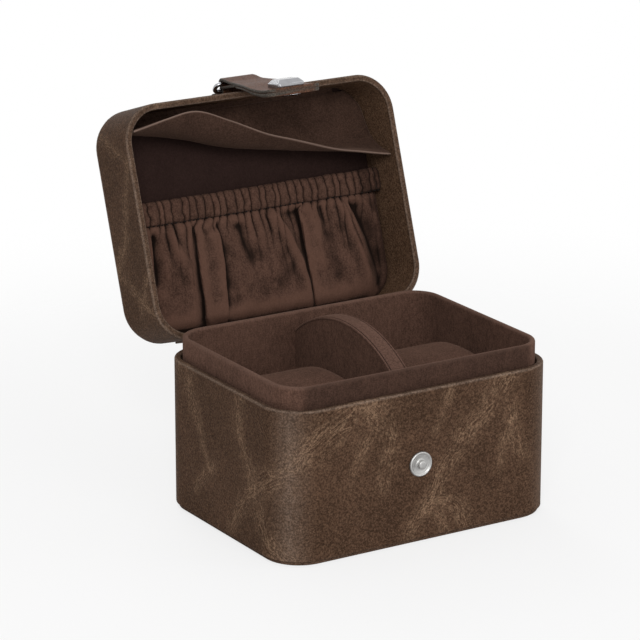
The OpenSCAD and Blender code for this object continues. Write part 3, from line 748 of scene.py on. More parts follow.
def on_arch(x, angle, out=0.0):
    """Points over the arch at angles from its crown."""
    r = ARCH_R + out
    return np.stack(np.broadcast_arrays(x, ARCH_MID + r * np.sin(angle), ARCH_Z + r * np.cos(angle)), -1)


def binding(steps=90):
    """Suede strip laid over the arch: between two grooves its middle swells, and its edges are rounded lips, with
    painted shade in the grooves and painted highlight on the lips.
    """
    half = BINDING_W / 2
    cut = [(i - half, *rest) for i, *rest in BINDING_CUT] + [(half - i, *rest) for i, *rest in BINDING_CUT[-2::-1]]
    x, out, painted_shading = np.array(cut).T
    ends = [math.asin(np.clip((y - ARCH_MID) / ARCH_R, -1, 1)) for y in (-TRAY_HALF_D, TRAY_HALF_D)]
    points = on_arch(x, np.linspace(*ends, steps)[:, None], out).reshape(-1, 3)
    points[:, 1] = np.clip(points[:, 1], -TRAY_HALF_D, TRAY_HALF_D)
    faces = grid_faces(steps, len(cut)) + caps(len(cut), len(points))
    return points, faces, np.tile(painted_shading, steps)


points, faces, painted_shading = binding()
make("divider_binding_strip", points, faces, BINDING_SUEDE, "base", "divider_binding", values={"painted_shading": painted_shading})


def arch_threads():
    """Places, directions and upward sides of the stitches along both edges of the binding."""
    angles = np.tile(np.arange(-0.9, 0.66, STITCH / ARCH_R), 2)
    x = np.repeat([THREAD_IN - BINDING_W / 2, BINDING_W / 2 - THREAD_IN], len(angles) // 2)
    none = np.zeros(len(angles))
    return (on_arch(x, angles, -0.4), np.c_[none, np.cos(angles), -np.sin(angles)],
            np.c_[none, np.sin(angles), np.cos(angles)])


make("divider_stitching", *stitches(*arch_threads(), 1.7, 0.14), BINDING_THREAD, "base")

# ---- stud

stud_low, stud_high = box("snap_stud")
STUD = np.array([(stud_low[0] + stud_high[0]) / 2, FRONT_Y, (stud_low[2] + stud_high[2]) / 2])


def facing_front(points, centre):
    """From a solid turned about Z to one that looks to the front, standing on centre."""
    p = np.asarray(points)
    return np.c_[p[:, 0], -p[:, 2], p[:, 1]] + centre


def stud(beads=40):
    """The snap's stud: a broad flange with a ring of beads, a dished skirt and a rounded post."""
    profile = [(0, 0), (5.45, 0), (5.6, 0.2), (5.6, 0.75), (5.45, 1.1), (5.15, 1.28), (4.85, 1.22), (4.6, 0.95),
               (4.4, 0.78), (4.0, 0.72), (3.6, 0.62), (3.1, 0.5), (2.5, 0.45), (2.2, 0.5), (1.95, 0.75),
               (1.72, 1.2), (1.66, 1.7), (1.85, 1.95), (1.92, 2.2), (1.8, 2.45), (1.45, 2.58), (0.8, 2.6), (0, 2.6)]
    points, faces = lathe(profile, 64)
    bead, bead_faces = lathe([(0, -0.12), (0.14, -0.08), (0.17, 0.02), (0.1, 0.13), (0, 0.15)], 8)
    bead_at, bead_up = 4.15, 0.74
    for a in whole_turn(beads):
        faces += shifted(bead_faces, len(points))
        points = np.concatenate([points, bead + (bead_at * math.cos(a), bead_at * math.sin(a), bead_up)])
    return facing_front(points, STUD), faces


make("snap_stud_metal", *stud(), STUD_METAL, "base", "snap_stud", sharp=50)

# ---- lid shell

HIGH_Z, LOW_Z, LINED_Z = LID_SHELL_TOP - EDGE_R, LID_RIM + EDGE_R, LID_RIM + 1.2
TURNED_IN = LID_IN + 0.15
profile = [(TURN_IN, LID_SHELL_TOP, 0), (3, LID_SHELL_TOP, 0), *edge_wear_and_sheen(arc(EDGE_R, HIGH_Z, EDGE_R, 90, 0), 0.4)]
profile += column(0, (HIGH_Z - 0.3, *rows_between(HIGH_Z, LOW_Z, 14), LOW_Z + 0.3))
profile += edge_wear_and_sheen(arc(EDGE_R, LOW_Z, EDGE_R, 0, -90), 0.9)
profile += edge_wear_and_sheen(arc(TURNED_IN - TUCK_R, LID_RIM + TUCK_R, TUCK_R, -90, -180), 0.8)
profile += [(TURNED_IN, LINED_Z, 0), (LID_IN - 0.1, LINED_Z + 0.3, 0)]
profile += column(LID_IN - 0.5, (LINED_Z + 0.3, LINED_Z))
profile += column(LEATHER_T, (LINED_Z, LID_SHELL_TOP - 0.8)) + [(TURN_IN, LID_SHELL_TOP - 0.8, 0)]
# rub paints a faint highlight down the lid's upright corners
shell("lid_leather_skin", profile, CASE_LEATHER, "lid", "lid_leather", veins=LID_VEINS, rub=0.15)

# The lining is painted lighter against the shade inside the lid
profile = column(LID_IN, (LINED_Z, *rows_between(LINED_Z, PANEL_S, 10), PANEL_S + 0.2))
profile += column(LID_IN - 0.45, (PANEL_S + 0.2, LINED_Z))
shell("lid_lining_skin", profile, BRIGHTENED_LINING_LEATHER, "lid", "lid_lining")

TOP_IN, TOP_R = CASE_W / 2 - lid_box("lid_top_panel")[1][0], 0.9
profile = [(TOP_IN + PANEL_R, LID_SHELL_TOP + 0.02),
           *arc(TOP_IN + PANEL_R, LID_SHELL_TOP + PANEL_R, PANEL_R, -90, 0, 3),
           *arc(TOP_IN + TOP_R, LID_TOP - TOP_R, TOP_R, 0, 90, 5)]
wear_and_sheen = [0, 0, 0.3, 0.6] + [1.0] * (len(profile) - 6) + [0.6, 0.2]
profile = [(*p, w) for p, w in zip(profile, wear_and_sheen)]
profile += [(TOP_IN + i, LID_TOP, 0) for i in (4, 8, 12, *range(17, 48, 5))]
shell("lid_top_skin", profile, CASE_LEATHER, "lid", "lid_top_panel", capped=True, veins=LID_VEINS)

# ---- pocket

INNER_R = CORNER_R - LID_IN
INNER_W, BACK_Y = CASE_W / 2 - LID_IN, CASE_D / 2 - LID_IN
rng = np.random.default_rng(11)
PLEAT = 4.0  # distance between the gathers
pleat_at = np.arange(-INNER_W - PLEAT, INNER_W + 2 * PLEAT, PLEAT)
pleat_at = pleat_at + rng.uniform(-0.24, 0.24, len(pleat_at)) * PLEAT
pleat_deep = rng.uniform(0.45, 1.0, len(pleat_at))
pleat_long = rng.uniform(4.0, 13.0, len(pleat_at)) * np.where(rng.random(len(pleat_at)) < 0.3, 1.6, 1.0)


def pleats(x):
    """Rounded ridges with sharp valleys between them: height from 0 to 1, depth and length of each."""
    phase = np.interp(x, pleat_at, np.arange(len(pleat_at)))
    part = phase - np.floor(phase)
    ridge = np.sqrt(np.clip(1 - (2 * part - 1) ** 2, 0, 1)) ** 0.8
    deep = np.interp(x, pleat_at, pleat_deep)
    long = np.interp(x, pleat_at, pleat_long)
    return ridge, deep, long


# Folds of the pocket. Each is its depth, how far its right side leans over it, where it starts and
# ends, and points of its deepest line: (across, distance from the lid's front, width of its left
# side, width of its right side)
FOLDS = [
    (4.2, 0.2, 55, 86, [(-54.5, 53, 2, 2.4), (-54.6, 60, 2.2, 4.0), (-55.4, 70, 2.6, 5.5), (-57.5, 84, 3, 6)]),
    (5.2, 0.62, 53.5, 130, [(-31.4, 53, 4, 0.8), (-31.0, 60, 6, 0.9), (-31.4, 71, 7.5, 0.9), (-32.3, 89, 8, 1.0),
                            (-34.2, 103, 8, 1.0)]),
    (1.7, 0, 56, 84, [(-12.5, 54, 3, 3.5), (-10.0, 62, 5, 6), (-8.0, 72, 7, 8), (-6.5, 84, 9, 10)]),
    (4.4, 0.6, 53.5, 130, [(22.8, 53, 14, 0.8), (23.4, 58, 13, 0.8), (23.6, 67, 9.5, 0.8), (24.0, 79, 6, 0.9),
                           (24.0, 90, 4, 1.0), (23.4, 103, 3, 1.2)]),
    (4.2, 0, 55, 112, [(47.5, 53, 1.6, 6), (52, 62, 3, 9), (56.5, 74, 4.5, 11), (59, 88, 6, 12), (60, 100, 6, 12)]),
    (1.8, 0.3, 54, 70, [(-21.6, 53, 1.6, 1.4), (-21.2, 60, 1.4, 1.2), (-20.8, 68, 1.4, 1.2)]),
    (1.8, 0.3, 54, 68, [(33.5, 53, 1.6, 1.4), (33.9, 60, 1.5, 1.3), (34.2, 68, 1.4, 1.2)]),
    (1.7, 0.3, 54, 66, [(3.0, 53, 1.8, 1.5), (4.4, 60, 1.8, 1.3), (5.6, 66, 1.4, 1.2)]),
]
# Crests that stand up beside the folds, in the same terms
CRESTS = [
    (1.7, 0, 58, 130, [(-21.5, 60, 7.5, 0.8), (-21.9, 75, 8, 0.7), (-23.0, 90, 8, 0.7), (-25.0, 103, 8, 0.9)]),
    (2.0, 0, 54, 78, [(-46.2, 53, 3.0, 1.6), (-45.8, 58, 3.0, 2.4), (-44.4, 66, 3.2, 3.2), (-43, 76, 4, 5)]),
    (1.6, 0, 54, 92, [(28.5, 53, 3.4, 3), (29.0, 60, 3.6, 3.4), (29.6, 72, 4, 5), (30.6, 90, 6, 6)]),
    (1.4, 0, 54, 92, [(7.6, 54, 5, 1.6), (13.7, 67, 5, 1.6), (18.0, 79, 5, 1.6), (20.5, 90, 4, 1.6)]),
    (1.4, 0, 54, 100, [(43.6, 53, 4, 1.6), (46.0, 62, 4, 1.6), (49.0, 74, 4, 1.8), (52, 90, 5, 2.4)]),
]


def fold_field(x, v, fold):
    """How deep a fold is at a place, and how far it pulls the cloth to the side there."""
    depth, lean, start, end, path = fold
    path = np.array(path, float)
    middle, left, right = (np.interp(v, path[:, 1], path[:, k]) for k in (0, 2, 3))
    gap = x - middle - 0.5 * rough(middle, v, 7, 4.4)
    slope = np.clip(1 - np.abs(gap) / np.where(gap < 0, left, right), 0, 1)
    shape = (slope + ease(slope)) / 2
    share = ease(np.clip((v - start) / 4, 0, 1) * np.clip((end - v) / 14, 0, 1))
    pull = np.where(gap > 0, (1 - shape) * np.exp(-np.clip(gap - right, 0, None) / 7), 0)
    return depth * shape * share, -lean * depth * pull * share


def inner_width(v):
    """Half the lid's inner width at distance v from its front, outside."""
    y = v + FRONT_Y
    deep = np.clip(np.abs(y) - (BACK_Y - INNER_R), 0, INNER_R)
    return INNER_W - INNER_R + np.sqrt(INNER_R**2 - deep**2)


def border_gap(x, v):
    """Distance from the pocket's sewn sides and bottom."""
    side = np.abs(x) - (INNER_W - INNER_R)
    deep = (v + FRONT_Y) - (BACK_Y - INNER_R)
    corner = INNER_R - np.hypot(np.maximum(side, 0), np.maximum(deep, 0))
    return np.where((side > 0) & (deep > 0), corner, np.minimum(INNER_W - np.abs(x), BACK_Y - (v + FRONT_Y)))


def rough(x, v, size, seed):
    """Gentle waves from -1 to 1."""
    flat = [noise.noise(Vector((a / size, b / size / 1.7, seed))) for a, b in zip(x.ravel(), v.ravel())]
    return np.array(flat).reshape(x.shape)


SEAM_V, MOUTH_V, BOTTOM_V = SEAM_Y - FRONT_Y, MOUTH_Y - FRONT_Y, BACK_Y - FRONT_Y
FULL = PANEL_S - POCKET_S - 0.5  # how far the pocket stands out, to the middle of its cloth
COLS = 460
CLOTH_T = 0.7


def pocket_grid(rows=84):
    """The pocket's cloth from its sewn seam to its bottom edge, as points of the shut lid."""
    t = np.linspace(0, 1, rows)[:, None] ** 1.35
    u = np.sin(np.linspace(-1, 1, COLS) * math.pi / 2 * 0.92) / math.sin(math.pi / 2 * 0.92)
    v = SEAM_V + (BOTTOM_V - 0.4 - SEAM_V) * t * np.ones(COLS)
    x = (inner_width(v) - 0.35) * u
    gap = np.clip(border_gap(x, v), 0, None)
    edge, down = np.clip(gap / 5, 0, 1), v - SEAM_V
    reach = 7.5 + 9 * np.clip((x - 40) / 14, 0, 1)
    lift = FULL * np.sqrt(np.clip(1 - (1 - np.clip(gap / reach, 0, 1)) ** 2.4, 0, 1))
    ridge, deep, long = pleats(x + rough(x, v, 8, 1.7) * np.clip(down / 6, 0, 1) * 1.6)
    gather = (ridge - 0.6) * (0.4 + deep) * 2.1 * np.exp(-(down / long) ** 1.3)
    belly = 0.9 * np.sin(np.clip(down / 16, 0, 1) * math.pi / 2) + 0.5 * np.clip(down / 46, 0, 1)
    folds, pulls = (sum(part) for part in zip(*(fold_field(x, v, f) for f in FOLDS)))
    crests = sum(fold_field(x, v, f)[0] for f in CRESTS)
    waves = (0.6 * rough(x, v, 9, 3.1) + 0.35 * rough(x, v, 4, 8.4)) * np.clip(down / 2, 0, 1)
    seam_dip = 0.9 * np.exp(-(down / 1.3) ** 2)
    out = gather + crests - folds + waves + belly - seam_dip - 0.9
    height = np.clip(lift + out * edge, 0.35, None)
    return np.stack([x + pulls * edge, v + FRONT_Y, PANEL_S - height], 2)


def fold_shading(grid, reach, gain, bias):
    """Painted shading for each point of a sheet's skin: painted shade as far as it lies below its surroundings, up
    to 1, and painted highlight as far as it lies above them, down to -1.
    The right end gets more painted shade, as the lid's wall shades it, and bias adds painted shade all over."""
    height = -grid[:, :, 2]
    level = height
    for _ in range(reach):
        wide = np.pad(level, ((1, 1), (0, 0)), mode="edge")
        level = (wide[2:] + 2 * level + wide[:-2]) / 4
        wide = np.pad(level, ((0, 0), (1, 1)), mode="edge")
        level = (wide[:, 2:] + 2 * level + wide[:, :-2]) / 4
    shade = np.clip((grid[:, :, 0] - 50) / 12, 0, 1) * 0.45 + bias
    out = np.clip(np.clip((level - height) * gain, -1, 1) + shade, -1, 1).ravel()
    return {"painted_shading": np.r_[out, out, np.zeros(len(border_of(*height.shape)))]}


pocket = pocket_grid()
# The pocket's skin keeps painted shade in its folds and by the right wall, and painted highlight on its ridges
sheet("pocket_cloth", pocket, CLOTH_T, POCKET_SUEDE, "lid", "pocket_front", fold_shading(pocket, 50, 2.2, 0.08),
      held="gathered", rests_on=["lid_panel_suede", "lid_lining"])


def power(value, exponent):
    """A power that keeps the sign."""
    return math.copysign(abs(value) ** exponent, value)


def waving(x, size, *place):
    """Gentle waves along x, from -1 to 1."""
    return np.array([noise.noise(Vector((a / size, *place))) for a in x])


def header_grid():
    """The gathered casing at the mouth, from inside the pocket over its lip down to the seam."""
    u = np.linspace(-1, 1, COLS)
    mid_v, half_v = (MOUTH_V + SEAM_V) / 2, (SEAM_V - MOUTH_V) / 2
    x = u * (INNER_W - 0.5)
    wobble = waving(x, 7, 2.2, 0.5)
    side = np.clip((1 - np.abs(u)) * INNER_W / np.where(u > 0, 9, 4), 0, 1)
    sink = (1 - side) ** 2 * np.where(u > 0, 1.2, 3.2)
    rows = []
    for a in np.radians(np.linspace(-62, 178, 34)):
        flat, up = power(math.cos(a), 0.62), power(math.sin(a), 0.8)
        ridge, deep, _ = pleats(x + 0.8 * waving(x, 5, flat * 1.6, 7.5))
        bulge = (ridge - 0.62) * (0.75 + 1.05 * deep) * (0.35 + 0.65 * max(math.sin(a), 0))
        v = mid_v - half_v * flat - 0.6 * (ridge - 0.5) * max(math.cos(a), 0) + 0.35 * wobble
        s = HEADER_S + 2.0 - 1.25 * (up + bulge) - 0.25 * wobble + sink
        rows.append(np.stack([x, v + FRONT_Y, s], 1))
    return np.array(rows)


header = header_grid()
# The casing keeps painted shade in its gathers and all over, and painted highlight on its ridges
sheet("pocket_casing", header, CLOTH_T, POCKET_SUEDE, "lid", "pocket_header", fold_shading(header, 16, 3.0, 0.5),
      held="gathered", rests_on=["pocket_elastic"])

# Short threads all along the seam
x = np.arange(-INNER_W + 1.6, INNER_W - 1.5, STITCH)
seam = np.c_[x, np.full(len(x), SEAM_Y + 0.1), np.full(len(x), POCKET_S + 0.6)]
spots, ahead, up = (on_lid(seam + step) for step in ((0, 0, 0), (1, 0.12, 0), (0, 0, -1)))
make("pocket_stitching", *stitches(spots, ahead - spots, up - spots, 1.45, 0.4), THREAD, "lid")

# ---- flap

# Shape of the flap across the lid: at x, points of (distance from the lid's front, height above its rim)
FLAP_ROOT, FLAP_T = (5.4, 25.5), 1.3
FLAP = {
    -66: [(8.8, 20.5), (10.4, 15), (11.2, 8), (11.2, -0.6)],
    -50: [(10.6, 23), (12.6, 17.4), (12.8, 8), (10.4, 0), (8.4, -2.4)],
    -35: [(12.2, 22.6), (15.8, 17), (16, 8), (11.4, 0), (6.6, -3.4)],
    -18: [(14, 23), (20.8, 17), (21.6, 8), (17.6, 1), (13, -2)],
    0: [(16.5, 22.6), (24.6, 16.6), (25, 8), (20.5, 0.4)],
    20: [(17.5, 22.4), (27, 17.8), (29, 11), (26.4, 3.4)],
    42: [(17.5, 22.4), (27, 18.6), (31.6, 12.6), (33, 4.4)],
    66: [(17.5, 22.4), (27, 18.8), (33.4, 12.4), (38, 3.6)],
}
FLAP_AXIS = shut([np.array(JOINT["flap_lift"]["pos_m"]) / MM])[0]
FLAP_UP = math.radians(JOINT["flap_lift"]["range_deg"][1])


def flap_grid(rows=44, cols=96):
    """The flap from its root to its free edge, no wider than the lid's walls leave it at rest and lifted."""
    stations = np.array(sorted(FLAP), float)
    curves = np.array([resample([FLAP_ROOT, *FLAP[k]], rows) for k in sorted(FLAP)])
    u, reach = np.linspace(-1, 1, cols), INNER_W - 1.4
    grid = []
    for i in range(rows):
        out, high = spline(stations, curves[:, i], np.array([-reach, reach])).T
        inside = np.clip((high + 1) / 3, 0, 1)
        lifted = (FLAP_AXIS[1] - FRONT_Y + (out - FLAP_AXIS[1] + FRONT_Y) * math.cos(FLAP_UP)
                  - (FLAP_AXIS[2] - high) * math.sin(FLAP_UP))
        room = np.minimum(inner_width(out), inner_width(lifted) + 1.8) - 1.1
        limit = np.minimum(room, reach) * inside + reach * (1 - inside)
        x = u * np.where(u < 0, *limit)
        cut = spline(stations, curves[:, i], x)
        ripple = 0.25 * rough(x, np.full(cols, i * 1.1), 14, 5.5)
        grid.append(np.stack([x, cut[:, 0] + FRONT_Y + ripple, cut[:, 1] + ripple], 1))
    return np.array(grid)


flap = flap_grid()
rows, cols = flap.shape[:2]
edge = np.arange(2 * rows * cols + len(border_of(rows, cols))) >= 2 * rows * cols  # the skin's last points
flap_piece = sheet("pocket_flap_suede", flap, FLAP_T, FLAP_SUEDE, "flap", "pocket_flap", {"wear_and_sheen": edge},
                   held="hung", rests_on=["flap_band"])
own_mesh(flap_piece)

# ---- clasp

RING_AT = np.array(JOINT["ring_swing"]["pos_m"]) / MM
TAB_AT = np.array(JOINT["tab_swing"]["pos_m"]) / MM
RING_DIR, RING_H = unit(TAB_AT - RING_AT), np.linalg.norm(TAB_AT - RING_AT)
RING_W, WIRE_R, BEND_R = 21.6, 1.0, 2.2  # the ring's width, and the radius of its wire and of its bends
rivet = node_points("tab_rivet").mean(0)
TAB_DIR, SOCKET_AT = unit(rivet - TAB_AT), np.linalg.norm(rivet - TAB_AT)
TAB_LEN, TAB_T = 50.6, 1.4
LOOP_R, TIP_R = 1.1, 2.6  # inner radius of a loop round the wire, and radius of the tab's end corners
TAB_W, TAB_WIDER = 17.4, 9.4  # width at the ring, and how much wider its end is

# Along the tab from the ring: distance, how far it bows inwards, and how far its under side lies below its middle
TAB_FORM = np.array([(-4, 0, 1.4), (0, 0, 1.4), (8, 0.05, 1.2), (16, 0.15, 1.0), (28, 0.25, 0.85), (35, 0.75, 1.3),
                     (41, 1.0, 1.7), (46, 0.75, 1.9), (TAB_LEN, 0.1, 2.0)])


def hung(points, pivot, direction):
    """Places points drawn with the piece hanging along -Z from the X axis, its outer face to -Y."""
    p = np.asarray(points, float)
    out = np.array([0, -direction[2], direction[1]])
    frame_y = -out if out @ (on_lid([(0, -1, 0)])[0] - on_lid([(0, 0, 0)])[0]) > 0 else out
    return pivot + p[:, :1] * [1, 0, 0] + p[:, 1:2] * frame_y - p[:, 2:3] * direction


def on_tab(points):
    """The same for the tab's pieces, at rest."""
    return hung(points, TAB_AT, TAB_DIR)


def ring(steps=16):
    """Wire bent to a rounded rectangle."""
    corners = rounded((RING_W / 2, RING_H / 2), BEND_R, 8)
    middle = np.concatenate([points for points, _ in corners])[:, None]
    turn = np.concatenate([angles for _, angles in corners])[:, None]
    out, side = WIRE_R * np.cos(whole_turn(steps)), WIRE_R * np.sin(whole_turn(steps))
    x, z = middle[..., 0] + out * np.cos(turn), middle[..., 1] + out * np.sin(turn) - RING_H / 2
    points = np.stack([x, side + 0 * turn, z], 2).reshape(-1, 3)
    return hung(points, RING_AT, RING_DIR), grid_faces(len(turn), steps, close_rows=True)


make("clasp_ring_wire", *ring(), NICKEL, "ring", "clasp_ring")


def tab_form(z, column):
    """A column of the tab's form at distance -z from the ring."""
    return spline(TAB_FORM[:, 0], TAB_FORM[:, column], np.clip(-np.asarray(z, float), -4, TAB_LEN - 1e-6))


def sag(z):
    """How far the tab bows inwards there."""
    return tab_form(z, 1)


def under(z):
    """How far the tab's under side lies below its middle there."""
    return tab_form(z, 2)


def tab_width(z):
    """Width of the tab there."""
    t = -np.asarray(z, float)
    wide = TAB_W + TAB_WIDER * ease(np.clip((t - 7) / 30, 0, 1))
    tip = np.clip((t - TAB_LEN + TIP_R) / TIP_R, 0, 1)
    return wide - 2 * TIP_R * (1 - np.sqrt(1 - tip**2))


TIP = -TAB_LEN + TIP_R * (1 - np.cos(np.radians(np.linspace(0, 90, 9))))  # heights round the tip, from its end up
FOLD_AT = -9  # where the leather leaves the tab to go round the ring


def tab_strap(overlap=5):
    """Outer leather: up the tab, round the ring's bar and back under itself."""
    r, half = LOOP_R + TAB_T / 2, TAB_T / 2
    up = [(-half - 0.02, z) for z in (*TIP[:-1], *np.linspace(-TAB_LEN + TIP_R, FOLD_AT, 30))]
    swell = [(-half - (r - half) * ease(k), FOLD_AT * (1 - k)) for k in (0.25, 0.5, 0.75)]
    loop = [(-r * math.cos(a), r * math.sin(a)) for a in np.radians(np.linspace(0, 180, 15))]
    thinner = np.arange(1, overlap + 1)
    down = [(-y, z) for y, z in swell[::-1]] + [(half - 0.15 * k, FOLD_AT - k) for k in thinner]
    path = np.array(up + swell + loop + down)
    widths = tab_width(np.minimum(path[:, 1], 0))
    path[:, 0] += sag(path[:, 1])
    return strap(path, widths, np.r_[np.full(len(path) - overlap, TAB_T), TAB_T - 0.12 * thinner])


strap_piece("tab_outer_leather", tab_strap(), on_tab, TAB_LEATHER, "tab", "tab_strap")

zs = np.r_[np.linspace(-14.4, -TAB_LEN + TIP_R, 24), TIP[-2::-1]]
lining = strap(np.c_[under(zs) / 2 + 0.02 + sag(zs), zs], tab_width(zs), under(zs))
strap_piece("tab_lining_leather", lining, on_tab, TAB_LEATHER, "tab", "tab_lining")

PLATE_W, PLATE_L, PLATE_T = 13.2, 10.4, 3.7
PLATE_AT = 42.8  # its middle, from the ring


def bowed(points):
    """Bends a piece that lies on the straight tab to follow its bow."""
    p = np.array(points, float)
    middle = p[:, 2].mean()
    slope = math.atan((sag(middle + 0.5) - sag(middle - 0.5)).item())
    c, s = math.cos(slope), math.sin(slope)
    y, z = p[:, 1].copy(), p[:, 2] - middle
    p[:, 1], p[:, 2] = y * c + z * s + sag(middle), middle + z * c - y * s
    return p


def plate():
    """Block of metal with broad bevels round its top."""
    points = []
    for inset, corner, height in ((0.2, 0.6, -0.1), (0, 0.6, 0.1), (0, 0.6, PLATE_T - 1.75),
                                  (1.75, 0.3, PLATE_T - 0.06), (1.95, 0.25, PLATE_T)):
        w, l = PLATE_W / 2 - inset, PLATE_L / 2 - inset
        half = np.array([(w, l - corner), (w - corner, l), (corner - w, l), (-w, l - corner)])
        points += [(x, -TAB_T - height, y - PLATE_AT) for x, y in (*half, *-half)]
    return on_tab(bowed(points)), grid_faces(5, 8) + caps(8, 40)


piece = make("tab_metal_plate", *plate(), NICKEL, "tab", "tab_plate", sharp=18)
bevel = piece.modifiers.new("soft edges", "BEVEL")
bevel.width, bevel.segments, bevel.limit_method = 0.12 * MM, 2, "ANGLE"

# The snap's socket, as (radius, height above the tab's under side)
SOCKET = [(0, -0.3), (4.2, -0.3), (4.5, 0), (4.5, 0.15), (4.25, 0.3), (4.0, 0.6), (3.7, 0.72), (2.9, 0.72),
          (2.45, 0.6), (2.3, 0.3), (2.3, -0.1), (0, -0.2)]
points, faces = lathe([(r, h + under(-SOCKET_AT).item()) for r, h in SOCKET])
points = bowed(np.c_[points[:, 0], points[:, 2], points[:, 1] - SOCKET_AT])
make("snap_socket_metal", on_tab(points), faces, NICKEL, "tab", "snap_socket", "tab_rivet", sharp=50)

KEEPER_T, KEEPER_W = 0.9, 14.0
KEEPER_UP = 5.8  # from the ring's held bar to the keeper's rivet
ring_shut = shut([RING_AT])[0]


def keeper():
    """Strip from the wall round the ring's held bar and back to the wall."""
    r, (y0, z0) = LOOP_R + KEEPER_T / 2, ring_shut[1:]
    wall, top = FRONT_Y - KEEPER_T / 2, z0 + KEEPER_UP + 3.2
    path = [(wall, z) for z in np.linspace(top, z0 + 3.4, 6)] + [(wall, z0 + 2.2), (y0 + r + 0.1, z0 + 1.0)]
    path += [(y0 + r * math.cos(a), z0 + r * math.sin(a)) for a in np.radians(np.linspace(10, -190, 17))]
    path += [(wall - KEEPER_T * 1.25, z0 + 2.8), (wall - KEEPER_T, z0 + 3.8)]
    path += [(wall - KEEPER_T, z) for z in np.linspace(z0 + 4.6, top, 5)]
    return strap(path, np.full(len(path), KEEPER_W), KEEPER_T)


strap_piece("ring_keeper_leather", keeper(), lambda points: on_lid(points + [RING_AT[0], 0, 0]), TAB_LEATHER, "lid",
            "ring_keeper")

points, faces = lathe([(0, -0.1), (2.05, -0.1), (2.2, 0.1), (2.15, 0.4), (1.8, 0.75), (1.2, 0.95), (0, 1.0)])
points = facing_front(points, (RING_AT[0], FRONT_Y - 2 * KEEPER_T, ring_shut[2] + KEEPER_UP))
make("keeper_rivet_head", on_lid(points), faces, NICKEL, "lid", "keeper_rivet", sharp=50)

# ---- hinge strip

HINGE_W, HINGE_T = 104.0, 0.9
LEAF_END = 16.5  # how far its lower leaf reaches below the base's rim
FREE = 1.5  # how far from the rims the strip comes loose


def hinge_path():
    """Middle line of the strip at rest: each point of the shut strip turned by its share of the opening."""
    y, low, high = CASE_D / 2 + HINGE_T / 2, BASE_H - FREE, 2 * HINGE[2] - BASE_H + FREE

    def opened(z, share):
        return tilted([(0, y, z)], -LID_OPEN * share, HINGE)[0][1:]

    start, end = np.array([y, low]), opened(high, 1)
    along = (end - start) / ((end - start) @ (end - start))
    path = []
    for z in (*np.linspace(BASE_H - LEAF_END, low, 8)[:-1], *np.linspace(low, high, 19),
              *np.linspace(high, BASE_H + LEAF_END + 4, 9)[1:]):
        share = 0.5
        for _ in range(60):
            share += 0.3 * (ease(np.clip((opened(z, share) - start) @ along, 0, 1)) - share)
        path.append(opened(z, share))
    return path, start, end


path, start, end = hinge_path()
piece = strap_piece("hinge_strip", strap(path, np.full(len(path), HINGE_W), HINGE_T, wear_and_sheen=0.5), np.asarray,
                    PLAIN_LEATHER, None, "hinge_leaf_base", "hinge_fold", "hinge_leaf_lid")
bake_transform(piece)

# ---- cushions

CUSHION_R = 27.0
REACH = 0.995  # share of the CAD box that the suede fills
SEAM_AT, SEAM_W, SEAM_DEEP = 0.93, 0.02, 0.012  # the end seams' place, width and depth, in half sizes
SMALLER, MOST = 0.985, 5  # the suede's size before it swells, and how many millimetres it may swell


def cushion_form(half, shrink):
    """Closed roll of foam in suede before it is filled."""
    ring = np.concatenate([points for points, _ in rounded(half[1:], CUSHION_R, 13)])
    sizes = [(-1, 0.35), (-1, 0.7), (-0.995, 0.88), (-0.965, 0.95), (-0.9, 0.985)]
    sizes += [(t, 1.0) for t in np.linspace(-0.8, 0.8, 15)] + [(-t, c) for t, c in sizes[::-1]]
    rings = [np.c_[np.full(len(ring), t * half[0]), ring * c] for t, c in sizes]
    points, faces = rolled(rings, (-half[0], 0, 0), (half[0], 0, 0))
    return points * shrink, faces


def spots_of(piece):
    """A piece's points, in metres."""
    out = np.empty(3 * len(piece.data.vertices))
    piece.data.vertices.foreach_get("co", out)
    return out.reshape(-1, 3)


def filled(piece, cap, frames=20, voxel=4, pressure=4):
    """A closed piece's points when it swells as cloth under pressure, none further than cap millimetres."""
    bpy.ops.object.select_all(action="DESELECT")
    bpy.context.view_layer.objects.active = piece
    piece.select_set(True)
    remesh = piece.modifiers.new("even", "REMESH")
    remesh.mode, remesh.voxel_size, remesh.use_smooth_shade = "VOXEL", voxel * MM, True
    bpy.ops.object.modifier_apply(modifier=remesh.name)
    before = spots_of(piece)
    cloth = piece.modifiers.new("cloth", "CLOTH")
    cloth.settings.quality = 6
    cloth.settings.use_pressure = True
    cloth.settings.uniform_pressure_force = pressure
    cloth.settings.effector_weights.gravity = 0
    for step in range(frames):
        bpy.context.scene.frame_set(step + 1)
    bpy.ops.object.modifier_apply(modifier=cloth.name)
    bpy.context.scene.frame_set(1)
    move = spots_of(piece) - before
    far = np.linalg.norm(move, axis=1, keepdims=True)
    return before + move * np.minimum(1, cap * MM / np.maximum(far, 1e-9))


def cushion(body):
    """A roll of foam in suede, swollen between its end seams and flat where it rests."""
    low, high = box(f"{body}_band")
    half = (high - low) / 2
    piece = make(f"{body}_suede", *cushion_form(half, SMALLER), SUEDE, None, f"{body}_band", f"{body}_ends",
                 f"{body}_core", sharp=60)
    shape = filled(piece, MOST) / MM
    shape *= half * REACH / np.abs(shape).max(0)
    seam = np.abs(shape[:, :1]) / half[0]
    shape[:, 1:] *= 1 - SEAM_DEEP * np.exp(-((seam - SEAM_AT) / SEAM_W) ** 2)
    piece.data.vertices.foreach_set("co", ((shape + (low + high) / 2) * MM).ravel())
    piece.data.update()
    piece.data.shade_smooth()
    smooth = piece.modifiers.new("smooth", "SUBSURF")
    smooth.levels = smooth.render_levels = 1
    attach(piece, body)


for body in ("cushion_left", "cushion_right"):
    cushion(body)

# ---- stage, light and camera

